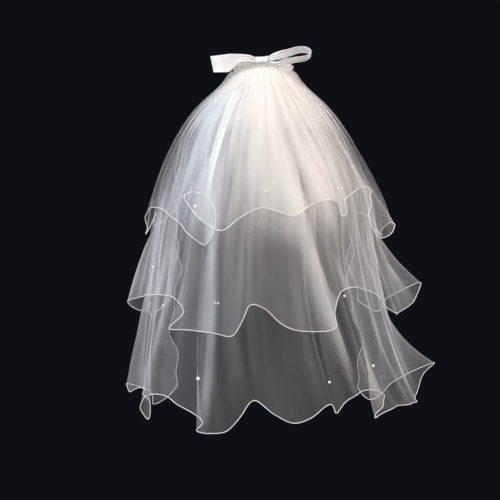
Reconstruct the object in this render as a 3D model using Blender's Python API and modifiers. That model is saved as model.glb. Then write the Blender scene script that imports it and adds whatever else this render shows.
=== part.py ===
"""A short bridal veil of three tulle tiers, gathered on a hair comb under a ribbon bow.

Metres, +Z up. The origin is on the comb's spine. The back of the veil faces -Y, and the
wearer faces +Y. Sizes are in millimetres below and become metres as the meshes are made.
"""

import math

import bmesh
import bpy
import numpy as np
from mathutils import Vector
from mathutils.bvhtree import BVHTree

MM = 0.001
OBJECT_NAME = "bridal_veil"

# The cloth
WALL = 1.0
SEAM_GAP = 0.3
COLUMNS = 96
ROWS = 8
TOP_HEIGHT = 2.3

# The corded edge that is sewn round each tier
CORD_RADIUS = 0.9
LEAST_MITRE = 0.3
CORD_ROUNDS = 16
BESIDE = 0.7

# The viewing point from which the hems' across and drop were measured, at the comb's depth
EYE_ACROSS = -23.0
EYE_DROP = 328.0
EYE_DISTANCE = 2150.0

# The veil's hollow form at the innermost tier, a row for each level below the comb:
# the half width, the depth to the back, the middle's place, and how far round it wraps
FORM_COLUMNS = ("drop", "half_width", "depth", "middle_y", "middle_x", "wrap_deg")
FORM = (
    (-2.3, 47, 8, 4.4, 0, 85),
    (4, 54, 20, 5, 0, 88),
    (22, 67, 42, 10, 0, 93),
    (58, 100, 75, 19, 0, 100),
    (118, 142, 115, 33, 1, 108),
    (186, 173, 143, 44, 4, 116),
    (251, 190, 161, 50, 5, 120),
    (310, 197, 171, 52, 2, 122),
    (440, 213, 185, 54, 5, 124),
    (550, 222, 195, 55, 9, 125),
    (670, 228, 203, 55, 12, 125),
)

# The tiers lie outside each other, this far apart at the comb and lower down
STEP_AT_COMB = 3.0
STEP_BELOW = 7.0
STEP_REACHED_AT = 80.0

# The comb and all that is gathered on it bow down towards the sides, by DROOP at DROOP_REACH
DROOP = 5.0
DROOP_REACH = 50.0
DROOP_ENDS_AT = 150.0

# The fine gathers on the comb, which open out below it
GATHERS = 24
GATHER_AT_COMB = 0.8
GATHER_MOST = 2.6
GATHER_WIDEST_AT = 60.0
GATHER_ENDS_AT = 190.0

# The large folds that all tiers share: the turn from the middle of the back where a fold
# starts and where it ends, in degrees, its width in degrees and its height
FOLD_STARTS_AT = 110.0
FOLD_ENDS_AT = 600.0
FOLD_COLUMNS = ("start_deg", "end_deg", "width_deg", "height")
FOLDS = (
    (-108, -114, 5.5, 8),
    (-92, -97, 6.0, 9),
    (-76, -82, 6.0, 7),
    (-61, -67, 5.0, 10),
    (-48, -53, 5.5, 7),
    (-36, -39, 4.5, 9),
    (-26, -22, 4.5, 12),
    (-16, -12, 4.0, 8),
    (-6, 0, 4.5, 9),
    (1, 17, 4.5, 8),
    (9, 36, 5.5, 12),
    (26, 48, 5.0, 8),
    (40, 61, 5.5, 10),
    (57, 75, 5.5, 8),
    (75, 91, 6.0, 9),
    (92, 104, 6.0, 8),
    (108, 115, 5.5, 8),
)

# Each hem's line, a row for each turn of its ruffle, from the left front edge round the back
# to the right front edge: across and drop as seen, the turn round the form, and the stand
# off the tier's own surface. The back's turns follow from across, and the front's across
# from the turn
HEM_COLUMNS = ("across", "drop", "turn_deg", "stand")
HEM_TOP = (
    (None, 250, -120, 0),
    (None, 282, -112, 12),
    (None, 252, -103, 6),
    (-203, 305, -95, 8),
    (-212, 272, -84, 14),
    (-194, 251, None, 12),
    (-150, 278, None, 8),
    (-104, 319, None, 6),
    (-87, 290, None, 10),
    (-92, 238, None, 22),
    (-121, 223, None, 27),
    (-141, 231, None, 49),
    (-112, 272, None, 46),
    (-74, 293, None, 37),
    (-41, 269, None, 24),
    (-2, 251, None, 14),
    (54, 264, None, 14),
    (119, 238, None, 8),
    (144, 266, None, 10),
    (156, 234, None, 9),
    (176, 229, None, 8),
    (172, 262, None, 21),
    (187, 270, None, 37),
    (189, 221, None, 30),
    (206, 225, 82, 20),
    (219, 304, 92, 20),
    (236, 286, 98, 34),
    (None, 294, 105, 20),
    (None, 262, 112, 8),
    (None, 252, 120, 0),
)
HEM_MIDDLE = (
    (None, 420, -124, 0),
    (None, 452, -116, 14),
    (None, 425, -108, 8),
    (-212, 437, -99, 12),
    (-243, 420, -89, 30),
    (-225, 413, -78, 20),
    (-185, 408, None, 16),
    (-157, 416, None, 19),
    (-142, 438, None, 14),
    (-169, 468, None, 38),
    (-142, 471, None, 44),
    (-94, 476, None, 23),
    (-56, 483, None, 20),
    (-37, 455, None, 24),
    (-22, 426, None, 26),
    (2, 432, None, 20),
    (32, 459, None, 14),
    (61, 472, None, 14),
    (131, 468, None, 18),
    (130, 436, None, 22),
    (146, 399, None, 22),
    (175, 396, None, 18),
    (206, 408, None, 20),
    (219, 443, 70, 24),
    (252, 435, 84, 34),
    (272, 417, 90, 42),
    (284, 386, 96, 46),
    (None, 420, 108, 22),
    (None, 445, 116, 12),
    (None, 425, 124, 0),
)
HEM_BOTTOM = (
    (None, 590, -125, 0),
    (None, 625, -117, 14),
    (None, 600, -108, 10),
    (-245, 568, -93, 28),
    (-240, 583, -87, 32),
    (-220, 575, -79, 24),
    (-203, 602, None, 18),
    (-206, 633, None, 24),
    (-221, 612, None, 34),
    (-205, 588, None, 36),
    (-173, 591, None, 26),
    (-133, 617, None, 18),
    (-108, 638, None, 14),
    (-120, 652, None, 30),
    (-92, 658, None, 42),
    (-65, 654, None, 24),
    (-43, 632, None, 18),
    (-16, 598, None, 16),
    (25, 626, None, 14),
    (61, 640, None, 14),
    (125, 605, None, 12),
    (133, 622, None, 18),
    (153, 597, None, 20),
    (192, 579, None, 20),
    (219, 588, None, 19),
    (204, 630, None, 46),
    (238, 611, None, 51),
    (274, 591, 84, 44),
    (285, 556, 91, 42),
    (310, 531, 98, 46),
    (None, 580, 108, 24),
    (None, 618, 117, 12),
    (None, 595, 125, 0),
)
LEAST_STAND = 5.0
WIDEST_BACK_DEG = 78.0

# The tiers, outermost first: how many steps each lies outside the form, and how far above its
# hem the ruffle dies out
TIER_COLUMNS = ("name", "steps_out", "hem", "ruffle_height")
TIERS = (
    ("top", 2, HEM_TOP, 150),
    ("middle", 1, HEM_MIDDLE, 125),
    ("bottom", 0, HEM_BOTTOM, 200),
)
ROUND_SHARE = 0.009
BEND_WEIGHT = 8.0
STEADY_SHARE = 0.05
LEAST_SPREAD = 0.4
TURN_REACHED_AT = 230.0
SWING_POWER = 1.9
STAND_POWER = 1.1
ROW_CROWDING = 0.5

# The gathered heading over the tiers' top edges
HEADING_LOW = 3.2
HEADING_HIGH = 10.2
HEADING_HALF_DEPTH = 6.3
HEADING_STATIONS = 28

# The comb
COMB_INSET = 3.4
COMB_THICKNESS = 1.8
COMB_TEETH = 16
COMB_SPINE_HIGH = 2.9
COMB_SPINE_LOW = -3.6
COMB_TEETH_LOW = -38.0
COMB_TOOTH_TIP = 1.3
COMB_TOOTH_ROOT = 3.2
COMB_TOOTH_STEPS = 3
COMB_HALF_LENGTH = 40.0
COMB_HOOK = 7.0

# The ribbon bow. The loops' across and rise above the comb are as seen from the viewing point
RIBBON_WALL = 1.0
RIBBON_STATIONS = 26
KNOT_WIDTH = 22.0
KNOT_DEPTH = 12.6
KNOT_HEIGHT = 13.0
KNOT_CENTRE = (-2.0, -19.5, 11.7)
KNOT_ROUNDING = 4.0
LOOP_COLUMNS = ("across", "y", "rise", "half_width", "tilt_deg")
LEFT_LOOP = (
    (-13.5, -22.5, 14.3, 4.5, 0),
    (-25, -28, 15, 7.5, 0),
    (-43, -32, 14, 9.5, 0),
    (-62, -32, 9, 14.0, 0),
    (-91, -30, 6.5, 14.5, 0),
    (-95.5, -26.5, 6.5, 14.5, 0),
    (-91, -23, 6.5, 14.2, 0),
    (-66, -22, 9, 12.5, 0),
    (-44, -21.5, 13, 8.5, 0),
    (-26, -19.5, 13, 6.0, 0),
    (-13.5, -17.5, 13.5, 4.0, 0),
)
RIGHT_LOOP = (
    (9.5, -22.5, 17.0, 3.6, 0),
    (22, -25.5, 20.0, 7.5, 35),
    (40, -26.5, 25, 11.5, 60),
    (65, -27, 32.4, 12.2, 70),
    (80, -27, 31.5, 12.2, 73),
    (87, -27, 24.7, 12.2, 76),
    (78.5, -27, 17.3, 12.2, 76),
    (59.5, -26.5, 13.9, 12.0, 74),
    (40, -25, 11.0, 9.5, 68),
    (22, -20, 7.4, 5.0, 62),
    (9.5, -18.5, 10.0, 2.6, 30),
)

# The ribbon's tail, which hangs between the top and middle tiers
TAIL_TURN_DEG = -33.0
TAIL_HALF_WIDTH = 10.0
TAIL_FROM = 48.0
TAIL_TO = 222.0
TAIL_SLANT = 3.0
TAIL_STATIONS = 18
TAIL_STRIPS = 4

WHITE_NET = (0.90, 0.92, 0.95, 1.0)
WHITE_CORD = (0.96, 0.96, 0.97, 1.0)
WHITE_SATIN = (0.95, 0.95, 0.95, 1.0)
CLEAR_PLASTIC = (0.88, 0.90, 0.90, 1.0)


def column(rows, names, name):
    """One named column of a table."""
    at = names.index(name)
    return np.array([row[at] for row in rows], float)


def curve_through(knots, values, at):
    """A smooth curve through values at knots, read at the places in at."""
    knots = np.asarray(knots, float)
    values = np.asarray(values, float)
    at = np.clip(np.asarray(at, float), knots[0], knots[-1])
    slopes = np.gradient(values, knots)
    i = np.clip(np.searchsorted(knots, at, side="right") - 1, 0, len(knots) - 2)
    width = knots[i + 1] - knots[i]
    t = (at - knots[i]) / width
    start = (2 * t**3 - 3 * t**2 + 1) * values[i]
    leave = (t**3 - 2 * t**2 + t) * width * slopes[i]
    end = (3 * t**2 - 2 * t**3) * values[i + 1]
    arrive = (t**3 - t**2) * width * slopes[i + 1]
    return start + leave + end + arrive


def ease(low, high, at):
    """0 at low and 1 at high, with a smooth start and end."""
    t = np.clip((np.asarray(at, float) - low) / (high - low), 0, 1)
    return t * t * (3 - 2 * t)


def form_at(drop):
    """Half width, depth, middle and wrap of the hollow form at each drop."""
    levels = column(FORM, FORM_COLUMNS, "drop")
    return [
        curve_through(levels, column(FORM, FORM_COLUMNS, name), drop)
        for name in FORM_COLUMNS[1:]
    ]


def step_at(drop):
    """How far apart the tiers lie at each drop."""
    return STEP_AT_COMB + (STEP_BELOW - STEP_AT_COMB) * ease(0, STEP_REACHED_AT, drop)


def droop_at(x, drop):
    """How far the comb's bow lowers a place this far across, at each drop."""
    return DROOP * 2 * x**2 / (x**2 + DROOP_REACH**2) * (1 - ease(0, DROOP_ENDS_AT, drop))


def folds_at(turn, wrap, drop):
    """How far the gathers and the large folds stand off the form, at turns in degrees."""
    rise = ease(-4, GATHER_WIDEST_AT, drop)
    fade = 1 - ease(GATHER_WIDEST_AT, GATHER_ENDS_AT, drop)
    height = (GATHER_AT_COMB + (GATHER_MOST - GATHER_AT_COMB) * rise) * fade
    share = (turn / wrap + 1) / 2
    uneven = (0.8 + 0.2 * np.sin(17 * share + 1)) * ease(1, 0.75, abs(2 * share - 1))
    stand = height * uneven * np.cos(2 * math.pi * GATHERS * share)
    lean = np.clip((drop - FOLD_STARTS_AT) / (FOLD_ENDS_AT - FOLD_STARTS_AT), -0.2, 1.1)
    grown = ease(40, 330, drop)
    for start, end, width, high in FOLDS:
        middle = start + (end - start) * lean
        stand = stand + grown * high * np.exp(-(((turn - middle) / width) ** 2))
    return stand - 3.5 * grown


def on_form(turn, drop, out):
    """Points in x and y at turns in degrees, at each drop, this far outside the form."""
    half_width, depth, middle_y, middle_x, wrap = form_at(drop)
    stand = out + folds_at(turn, wrap, drop)
    angle = np.radians(turn)
    x = middle_x + (half_width + stand) * np.sin(angle)
    y = middle_y - (depth + stand) * np.cos(angle)
    return x, y


def hem_turns(rows, steps_out):
    """Each row of a hem's table as its turn round the form, drop and stand."""
    across, drop, turn, stand = (column(rows, HEM_COLUMNS, n) for n in HEM_COLUMNS)
    back, front = np.isnan(turn), np.isnan(across)
    half_width, depth, middle_y, middle_x, wrap = form_at(drop)
    turn = np.where(back, np.degrees(np.arcsin(across / 400)), turn)
    for _ in range(12):
        angle = np.radians(turn)
        off = steps_out * step_at(drop) + folds_at(turn, wrap, drop)
        y = middle_y - (depth + off + stand) * np.cos(angle)
        nearer = (EYE_DISTANCE + y) / EYE_DISTANCE
        seen = EYE_ACROSS + (across - EYE_ACROSS) * nearer
        share = np.clip((seen - middle_x) / (half_width + off + stand), -1, 1)
        found = np.clip(np.degrees(np.arcsin(share)), -WIDEST_BACK_DEG, WIDEST_BACK_DEG)
        turn = np.where(back, found, turn)
    aside = ~front & (np.abs(turn) >= WIDEST_BACK_DEG)
    reach = (seen - middle_x) / np.sin(np.where(aside, angle, 1.0))
    reached = np.maximum(reach - half_width - off, LEAST_STAND)
    stand = np.where(aside, reached, stand)
    down = np.where(front, drop, EYE_DROP + (drop - EYE_DROP) * nearer)
    return turn, down, stand


def hem_line(rows, steps_out, samples=1600):
    """The hem's turn, drop and stand along it, closer at its bends, and its length."""
    turn, drop, stand = hem_turns(rows, steps_out)
    x, y = on_form(turn, drop, steps_out * step_at(drop) + stand)
    steps = np.linalg.norm(np.diff(np.stack([x, y, drop], 1), axis=0), axis=1)
    knots = np.concatenate([[0], np.cumsum(np.sqrt(steps))])
    at = np.linspace(0, knots[-1], samples)
    fine = [curve_through(knots, values, at) for values in (turn, drop, stand)]
    fine = [steadied(values, ROUND_SHARE) for values in fine]
    x, y = on_form(fine[0], fine[1], steps_out * step_at(fine[1]) + fine[2])
    moves = np.diff(np.stack([x, y, fine[1]], 1), axis=0)
    moved = np.linalg.norm(moves, axis=1)
    ways = moves / moved[:, None]
    bend = np.arccos(np.clip((ways[1:] * ways[:-1]).sum(1), -1, 1))
    weight = moved + BEND_WEIGHT * np.concatenate([[0], bend])
    measure = np.concatenate([[0], np.cumsum(weight)])
    even = np.linspace(0, measure[-1], samples)
    return [np.interp(even, measure, values) for values in fine], moved.sum()


def steadied(values, share):
    """Values evened out along the hem over this share of it, with the ends kept."""
    reach = int(len(values) * share)
    before = 2 * values[0] - values[reach:0:-1]
    after = 2 * values[-1] - values[-2 : -reach - 2 : -1]
    long = np.concatenate([before, values, after])
    weights = np.hanning(2 * reach + 1)
    return np.convolve(long, weights / weights.sum(), "valid")


def spread(turns):
    """Turns that never run back or stand still, between the same two ends."""
    steps = np.diff(turns)
    steps = np.maximum(steps, LEAST_SPREAD * (turns[-1] - turns[0]) / len(steps))
    steps *= (turns[-1] - turns[0]) / steps.sum()
    return turns[0] + np.concatenate([[0], np.cumsum(steps)])


def tier_surface(steps_out, rows, ruffle_height, columns, levels):
    """A tier's middle surface as a grid of points, levels down by columns along."""
    (hem_turn, hem_drop, hem_stand), _ = hem_line(rows, steps_out)
    share = np.linspace(0, 1, columns + 1)
    fine = np.linspace(0, 1, len(hem_turn))
    calm_turn = spread(steadied(hem_turn, STEADY_SHARE))
    calm_drop = steadied(hem_drop, 2 * STEADY_SHARE)
    hem_turn, hem_drop, hem_stand, calm_turn, calm_drop = (
        np.interp(share, fine, v)
        for v in (hem_turn, hem_drop, hem_stand, calm_turn, calm_drop)
    )
    calm_share = calm_turn / abs(calm_turn).max()
    grid = np.zeros((levels + 1, columns + 1, 3))
    for i, part in enumerate(np.linspace(0, 1, levels + 1)):
        # The rows crowd towards the comb and the hem, where the cloth curves most
        part = part - ROW_CROWDING * math.sin(2 * math.pi * part) / (2 * math.pi)
        drop = -TOP_HEIGHT + (calm_drop + TOP_HEIGHT) * part
        settle = ease(40, TURN_REACHED_AT, drop)
        turn = form_at(drop)[4] * ((2 * share - 1) * (1 - settle) + calm_share * settle)
        ruffle = np.clip(1 - (calm_drop - drop) / ruffle_height, 0, 1)
        swing = ruffle**SWING_POWER
        turn = turn + (hem_turn - turn) * swing
        drop = drop + (hem_drop - calm_drop) * swing
        stand = hem_stand * ruffle**STAND_POWER
        x, y = on_form(turn, drop, steps_out * step_at(drop) + stand)
        grid[i] = np.stack([x, y, -drop - droop_at(x, drop)], 1)
    return grid


def material(name, colour, roughness):
    """A Principled material with this colour and roughness."""
    made = bpy.data.materials.new(name)
    made.use_nodes = True
    shader = made.node_tree.nodes["Principled BSDF"]
    shader.inputs["Base Color"].default_value = colour
    shader.inputs["Roughness"].default_value = roughness
    shader.inputs["Metallic"].default_value = 0.0
    return made


def placed(name, data, finish, parts):
    """A new object for this mesh or curve, in the veil's collection."""
    made = bpy.data.objects.new(name, data)
    data.materials.append(finish)
    parts.objects.link(made)
    return made


def sheet(name, grid, thickness, finish, parts):
    """A grid of points in millimetres as cloth of this thickness."""
    levels, columns = grid.shape[0] - 1, grid.shape[1] - 1
    bm = bmesh.new()
    bmesh.ops.create_grid(bm, x_segments=columns, y_segments=levels, size=1.0)
    for vert in bm.verts:
        along = round((vert.co.x + 1) / 2 * columns)
        down = round((1 - vert.co.y) / 2 * levels)
        vert.co = grid[down, along] * MM
    mesh = bpy.data.meshes.new(name)
    bm.to_mesh(mesh)
    bm.free()
    mesh.shade_smooth()
    made = placed(name, mesh, finish, parts)
    wall = made.modifiers.new("Wall", "SOLIDIFY")
    wall.thickness = thickness * MM
    wall.offset = 0.0
    wall.use_even_offset = False
    return made


def cord(name, points, radius, finish, parts):
    """A round cord through points in millimetres, with closed ends."""
    curve = bpy.data.curves.new(name, "CURVE")
    curve.dimensions = "3D"
    curve.bevel_depth = radius * MM
    curve.bevel_resolution = 0
    curve.use_fill_caps = True
    line = curve.splines.new("POLY")
    line.points.add(len(points) - 1)
    for place, point in zip(line.points, points):
        place.co = (*(point * MM), 1.0)
    return placed(name, curve, finish, parts)


def cloth_tree(grid):
    """A tier's grid of points as a surface that lines can be aimed at."""
    levels, columns = grid.shape[0], grid.shape[1]
    corners = [
        (i * columns + j, i * columns + j + 1, (i + 1) * columns + j + 1, (i + 1) * columns + j)
        for i in range(levels - 1)
        for j in range(columns - 1)
    ]
    return BVHTree.FromPolygons([Vector(p) for p in grid.reshape(-1, 3)], corners)


def mitred(points, inner):
    """Directions away from inner, mitred between the two stretches that meet at each point."""
    steps = np.diff(points, axis=0)
    steps /= np.linalg.norm(steps, axis=1, keepdims=True)
    middle = 0
    for step in (np.concatenate([steps[:1], steps]), np.concatenate([steps, steps[-1:]])):
        away = points - inner
        away = away - (away * step).sum(1, keepdims=True) * step
        middle = middle + away / np.linalg.norm(away, axis=1, keepdims=True) / 2
    return middle / np.maximum((middle**2).sum(1, keepdims=True), LEAST_MITRE)


def edge_line(grid, radius):
    """The corded edge's line: down the left front edge, along the hem and up the right."""
    clear = SEAM_GAP + radius
    left = clear * mitred(grid[1:, 0], grid[1:, 1])
    right = clear * mitred(grid[1:, -1], grid[1:, -2])
    below = clear * mitred(grid[-1], grid[-2])
    below[0] += left[-1]
    below[-1] += right[-1]
    sides = grid[1:-1, 0] + left[:-1], grid[1:-1, -1] + right[:-1]
    line = np.concatenate([sides[0], grid[-1] + below, sides[1][::-1]])
    return kept_off(line, cloth_tree(grid), np.concatenate([left[:-1], below, right[-2::-1]]))


def kept_off(line, cloth, away):
    """The line with its places moved off any fold of the cloth that comes too near."""
    away = away / np.linalg.norm(away, axis=1, keepdims=True)
    least = CORD_RADIUS + WALL / 2 + SEAM_GAP
    for _ in range(CORD_ROUNDS):
        for k, share in ((k, share) for k in range(len(line) - 1) for share in (0, 0.25, 0.5, 0.75)):
            place = Vector(line[k] * (1 - share) + line[k + 1] * share)
            for near, _, _, gap in cloth.find_nearest_range(place, least):
                push = np.array(place - near) / max(gap, SEAM_GAP)
                beside = abs(push @ away[k]) < BESIDE
                short = (least if beside else CORD_RADIUS + SEAM_GAP / 2) - gap
                if short > 0:
                    line[k] += push * short * (1 - share)
                    line[k + 1] += push * short * share
    return line


def heading(finish, parts):
    """The gathered band that binds the tiers' top edges on the comb."""
    half_width, depth, middle_y, _, wrap = form_at(-TOP_HEIGHT)
    angle = np.radians(np.linspace(-wrap, wrap, HEADING_STATIONS + 1))
    grid = np.zeros((3, HEADING_STATIONS + 1, 3))
    for i, side in enumerate((-1, 0, 1)):
        reach = STEP_AT_COMB + side * HEADING_HALF_DEPTH
        grid[i, :, 0] = (half_width + reach) * np.sin(angle)
        grid[i, :, 1] = middle_y - (depth + reach) * np.cos(angle)
        grid[i, :, 2] = (HEADING_LOW + HEADING_HIGH) / 2 - droop_at(grid[i, :, 0], 0)
    made = sheet("heading", grid, HEADING_HIGH - HEADING_LOW, finish, parts)
    edges = made.modifiers.new("Rounded", "BEVEL")
    edges.width = 1.6 * MM
    edges.segments = 2
    edges.limit_method = "ANGLE"
    edges.angle_limit = math.radians(60)
    return made


def comb(finish, parts):
    """The hair comb inside the veil: a flat spine and its teeth, bent round the heading."""
    half_width, depth, middle_y, _, _ = form_at(-TOP_HEIGHT)
    half_width = half_width - COMB_INSET
    depth = depth - COMB_INSET
    bm = bmesh.new()

    def corner(x, z):
        bow = depth * math.sqrt(1 - (x / half_width) ** 2)
        down = max(0.0, COMB_SPINE_LOW - z) / (COMB_SPINE_LOW - COMB_TEETH_LOW)
        y = middle_y - bow + COMB_HOOK * down**2
        return bm.verts.new((x * MM, y * MM, (z - droop_at(x, 0)) * MM))

    pitch = 2 * COMB_HALF_LENGTH / COMB_TEETH
    levels = np.linspace(COMB_SPINE_LOW, COMB_TEETH_LOW, COMB_TOOTH_STEPS + 1)
    for i in range(COMB_TEETH):
        start = -COMB_HALF_LENGTH + pitch * i
        middle = start + pitch / 2
        stops = (start, middle - COMB_TOOTH_ROOT / 2, middle + COMB_TOOTH_ROOT / 2, start + pitch)
        high = [corner(x, COMB_SPINE_HIGH) for x in stops]
        low = [corner(x, COMB_SPINE_LOW) for x in stops]
        for j in range(3):
            bm.faces.new((low[j], low[j + 1], high[j + 1], high[j]))
        above = low[1:3]
        for k, z in enumerate(levels[1:], 1):
            half = COMB_TOOTH_ROOT + (COMB_TOOTH_TIP - COMB_TOOTH_ROOT) * k / COMB_TOOTH_STEPS
            below = [corner(middle - half / 2, z), corner(middle + half / 2, z)]
            bm.faces.new((below[0], below[1], above[1], above[0]))
            above = below
    bmesh.ops.remove_doubles(bm, verts=bm.verts, dist=1e-6)
    mesh = bpy.data.meshes.new("comb")
    bm.to_mesh(mesh)
    bm.free()
    made = placed("comb", mesh, finish, parts)
    wall = made.modifiers.new("Wall", "SOLIDIFY")
    wall.thickness = COMB_THICKNESS * MM
    wall.offset = 0.0
    return made


def ribbon_loop(name, rows, finish, parts):
    """One loop of the bow: a ribbon along its rows, turned by each row's tilt."""
    across, y, rise, half, tilt = (column(rows, LOOP_COLUMNS, n) for n in LOOP_COLUMNS)
    nearer = (EYE_DISTANCE + y) / EYE_DISTANCE
    x = EYE_ACROSS + (across - EYE_ACROSS) * nearer
    z = (rise + EYE_DROP) * nearer - EYE_DROP
    steps = np.linalg.norm(np.diff(np.stack([x, y, z], 1), axis=0), axis=1)
    knots = np.concatenate([[0], np.cumsum(np.sqrt(steps))])
    at = np.linspace(0, knots[-1], RIBBON_STATIONS + 1)
    x, y, z, half, tilt = (curve_through(knots, v, at) for v in (x, y, z, half, tilt))
    tilt = np.radians(tilt)
    grid = np.zeros((3, RIBBON_STATIONS + 1, 3))
    for i, side in enumerate((1, 0, -1)):
        grid[i, :, 0] = x
        grid[i, :, 1] = y - side * half * np.sin(tilt)
        grid[i, :, 2] = z + side * half * np.cos(tilt)
    return sheet(name, grid, RIBBON_WALL, finish, parts)


def bow_knot(finish, parts):
    """The bow's knot, a rounded block against the heading."""
    bm = bmesh.new()
    bmesh.ops.create_cube(bm, size=1.0)
    for vert in bm.verts:
        vert.co.x *= KNOT_WIDTH * MM
        vert.co.y *= KNOT_DEPTH * MM
        vert.co.z *= KNOT_HEIGHT * MM
    mesh = bpy.data.meshes.new("bow_knot")
    bm.to_mesh(mesh)
    bm.free()
    mesh.shade_smooth()
    made = placed("bow_knot", mesh, finish, parts)
    made.location = [c * MM for c in KNOT_CENTRE]
    edges = made.modifiers.new("Rounded", "BEVEL")
    edges.width = KNOT_ROUNDING * MM
    edges.segments = 3
    return made


def bow_tail(outer, inner, finish, parts):
    """The ribbon's tail, halfway between two tiers given as their grids of points."""
    over, under = cloth_tree(outer), cloth_tree(inner)
    drops = np.linspace(TAIL_FROM, TAIL_TO, TAIL_STATIONS + 1)
    grid = np.zeros((TAIL_STATIONS + 1, TAIL_STRIPS + 1, 3))
    for i, drop in enumerate(drops):
        half_width, _, middle_y, middle_x, _ = (float(v) for v in form_at(drop))
        for j in range(TAIL_STRIPS + 1):
            aside = 2 * j / TAIL_STRIPS - 1
            turn = math.radians(TAIL_TURN_DEG) + aside * TAIL_HALF_WIDTH / half_width
            cut = drop + TAIL_SLANT * aside * float(ease(TAIL_TO - 40, TAIL_TO, drop))
            middle = Vector((middle_x, middle_y, -cut))
            outward = Vector((math.sin(turn), -math.cos(turn), 0))
            far = over.ray_cast(middle, outward)[3]
            near = under.ray_cast(middle, outward)[3]
            grid[i, j] = middle + outward * (far + near) / 2
    return sheet("bow_tail", grid, RIBBON_WALL, finish, parts)


def main():
    for old in list(bpy.data.objects):
        bpy.data.objects.remove(old)
    parts = bpy.data.collections.new(OBJECT_NAME)
    bpy.context.scene.collection.children.link(parts)
    net = material("tulle", WHITE_NET, 0.6)
    edging = material("cord", WHITE_CORD, 0.45)
    satin = material("satin", WHITE_SATIN, 0.3)
    plastic = material("plastic", CLEAR_PLASTIC, 0.25)
    tiers = {}
    for name, steps_out, rows, ruffle_height in TIERS:
        tiers[name] = tier_surface(steps_out, rows, ruffle_height, COLUMNS, ROWS)
        sheet("tier_" + name, tiers[name], WALL, net, parts)
        line = edge_line(tiers[name], CORD_RADIUS)
        cord("hem_" + name, line, CORD_RADIUS, edging, parts)
    heading(net, parts)
    comb(plastic, parts)
    ribbon_loop("bow_loop_left", LEFT_LOOP, satin, parts)
    ribbon_loop("bow_loop_right", RIGHT_LOOP, satin, parts)
    bow_knot(satin, parts)
    bow_tail(tiers["top"], tiers["middle"], satin, parts)


main()
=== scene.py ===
"""A short bridal veil of three tulle tiers on a comb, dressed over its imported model.

Metres, +Z up. The veil's back faces -Y. Shapes are worked out in millimetres, with z as a drop
below the comb, and become metres as the meshes are made.
"""

import math
from collections import namedtuple

import bmesh
import bpy
import numpy as np
from bpy.props import FloatProperty, FloatVectorProperty, IntProperty, PointerProperty
from mathutils import Matrix, Vector
from mathutils.bvhtree import BVHTree


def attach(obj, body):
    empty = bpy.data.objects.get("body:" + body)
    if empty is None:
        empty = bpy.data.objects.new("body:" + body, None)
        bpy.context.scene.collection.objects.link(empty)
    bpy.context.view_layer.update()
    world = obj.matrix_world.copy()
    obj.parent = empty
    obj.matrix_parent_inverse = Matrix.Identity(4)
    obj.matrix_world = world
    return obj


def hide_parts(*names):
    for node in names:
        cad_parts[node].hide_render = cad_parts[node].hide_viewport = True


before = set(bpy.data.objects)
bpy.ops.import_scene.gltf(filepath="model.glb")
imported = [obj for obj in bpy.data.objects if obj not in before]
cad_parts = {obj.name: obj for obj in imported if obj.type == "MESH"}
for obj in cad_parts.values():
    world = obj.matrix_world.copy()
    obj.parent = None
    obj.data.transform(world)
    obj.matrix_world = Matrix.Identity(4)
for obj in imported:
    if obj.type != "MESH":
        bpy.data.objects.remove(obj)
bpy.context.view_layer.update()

bl_info = {
    "name": "Tiered bridal veil",
    "version": (1, 0, 0),
    "blender": (4, 5, 0),
    "location": "3D View > Sidebar > Veil",
    "description": "Builds the tiers, hems, heading, comb, bow and pearls of a short tulle veil",
    "category": "Add Mesh",
}

MM = 0.001

# The viewing point of the photograph, at the comb's depth
EYE_ACROSS = -23.0
EYE_DROP = 328.0
EYE_DISTANCE = 2150.0

# The veil's hollow form at the innermost tier, a row for each level below the comb
FORM_COLUMNS = ("drop", "half_width", "depth", "middle_y", "middle_x", "wrap_deg")
FORM = (
    (-2.3, 47, 8, 4.4, 0, 85),
    (4, 54, 20, 5, 0, 88),
    (22, 67, 42, 10, 0, 93),
    (58, 100, 75, 19, 0, 100),
    (118, 142, 115, 33, 1, 108),
    (186, 173, 143, 44, 4, 116),
    (251, 190, 161, 50, 5, 120),
    (310, 197, 171, 52, 2, 122),
    (440, 213, 185, 54, 5, 124),
    (550, 222, 195, 55, 9, 125),
    (670, 228, 203, 55, 12, 125),
)
STEP_AT_COMB = 3.0
STEP_BELOW = 7.0
STEP_REACHED_AT = 80.0
TOP_HEIGHT = 2.3
DROOP = 5.0
DROOP_REACH = 50.0
DROOP_ENDS_AT = 150.0
WALL = 0.5

# The gathers on the comb, and the large folds that all tiers share
GATHERS = 24
GATHER_AT_COMB = 0.8
GATHER_MOST = 2.6
GATHER_WIDEST_AT = 60.0
GATHER_ENDS_AT = 190.0
FOLD_STARTS_AT = 110.0
FOLD_ENDS_AT = 600.0
FOLD_COLUMNS = ("start_deg", "end_deg", "width_deg", "height")
FOLDS = (
    (-108, -114, 5.5, 8),
    (-92, -97, 6.0, 9),
    (-76, -82, 6.0, 7),
    (-61, -67, 5.0, 10),
    (-48, -53, 5.5, 7),
    (-36, -39, 4.5, 9),
    (-26, -22, 4.5, 12),
    (-16, -12, 4.0, 8),
    (-6, 0, 4.5, 9),
    (1, 17, 4.5, 8),
    (9, 36, 5.5, 12),
    (26, 48, 5.0, 8),
    (40, 61, 5.5, 10),
    (57, 75, 5.5, 8),
    (75, 91, 6.0, 9),
    (92, 104, 6.0, 8),
    (108, 115, 5.5, 8),
)
FOLD_GROWS = (40.0, 330.0)
FOLD_SETTLES = 3.5

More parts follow.
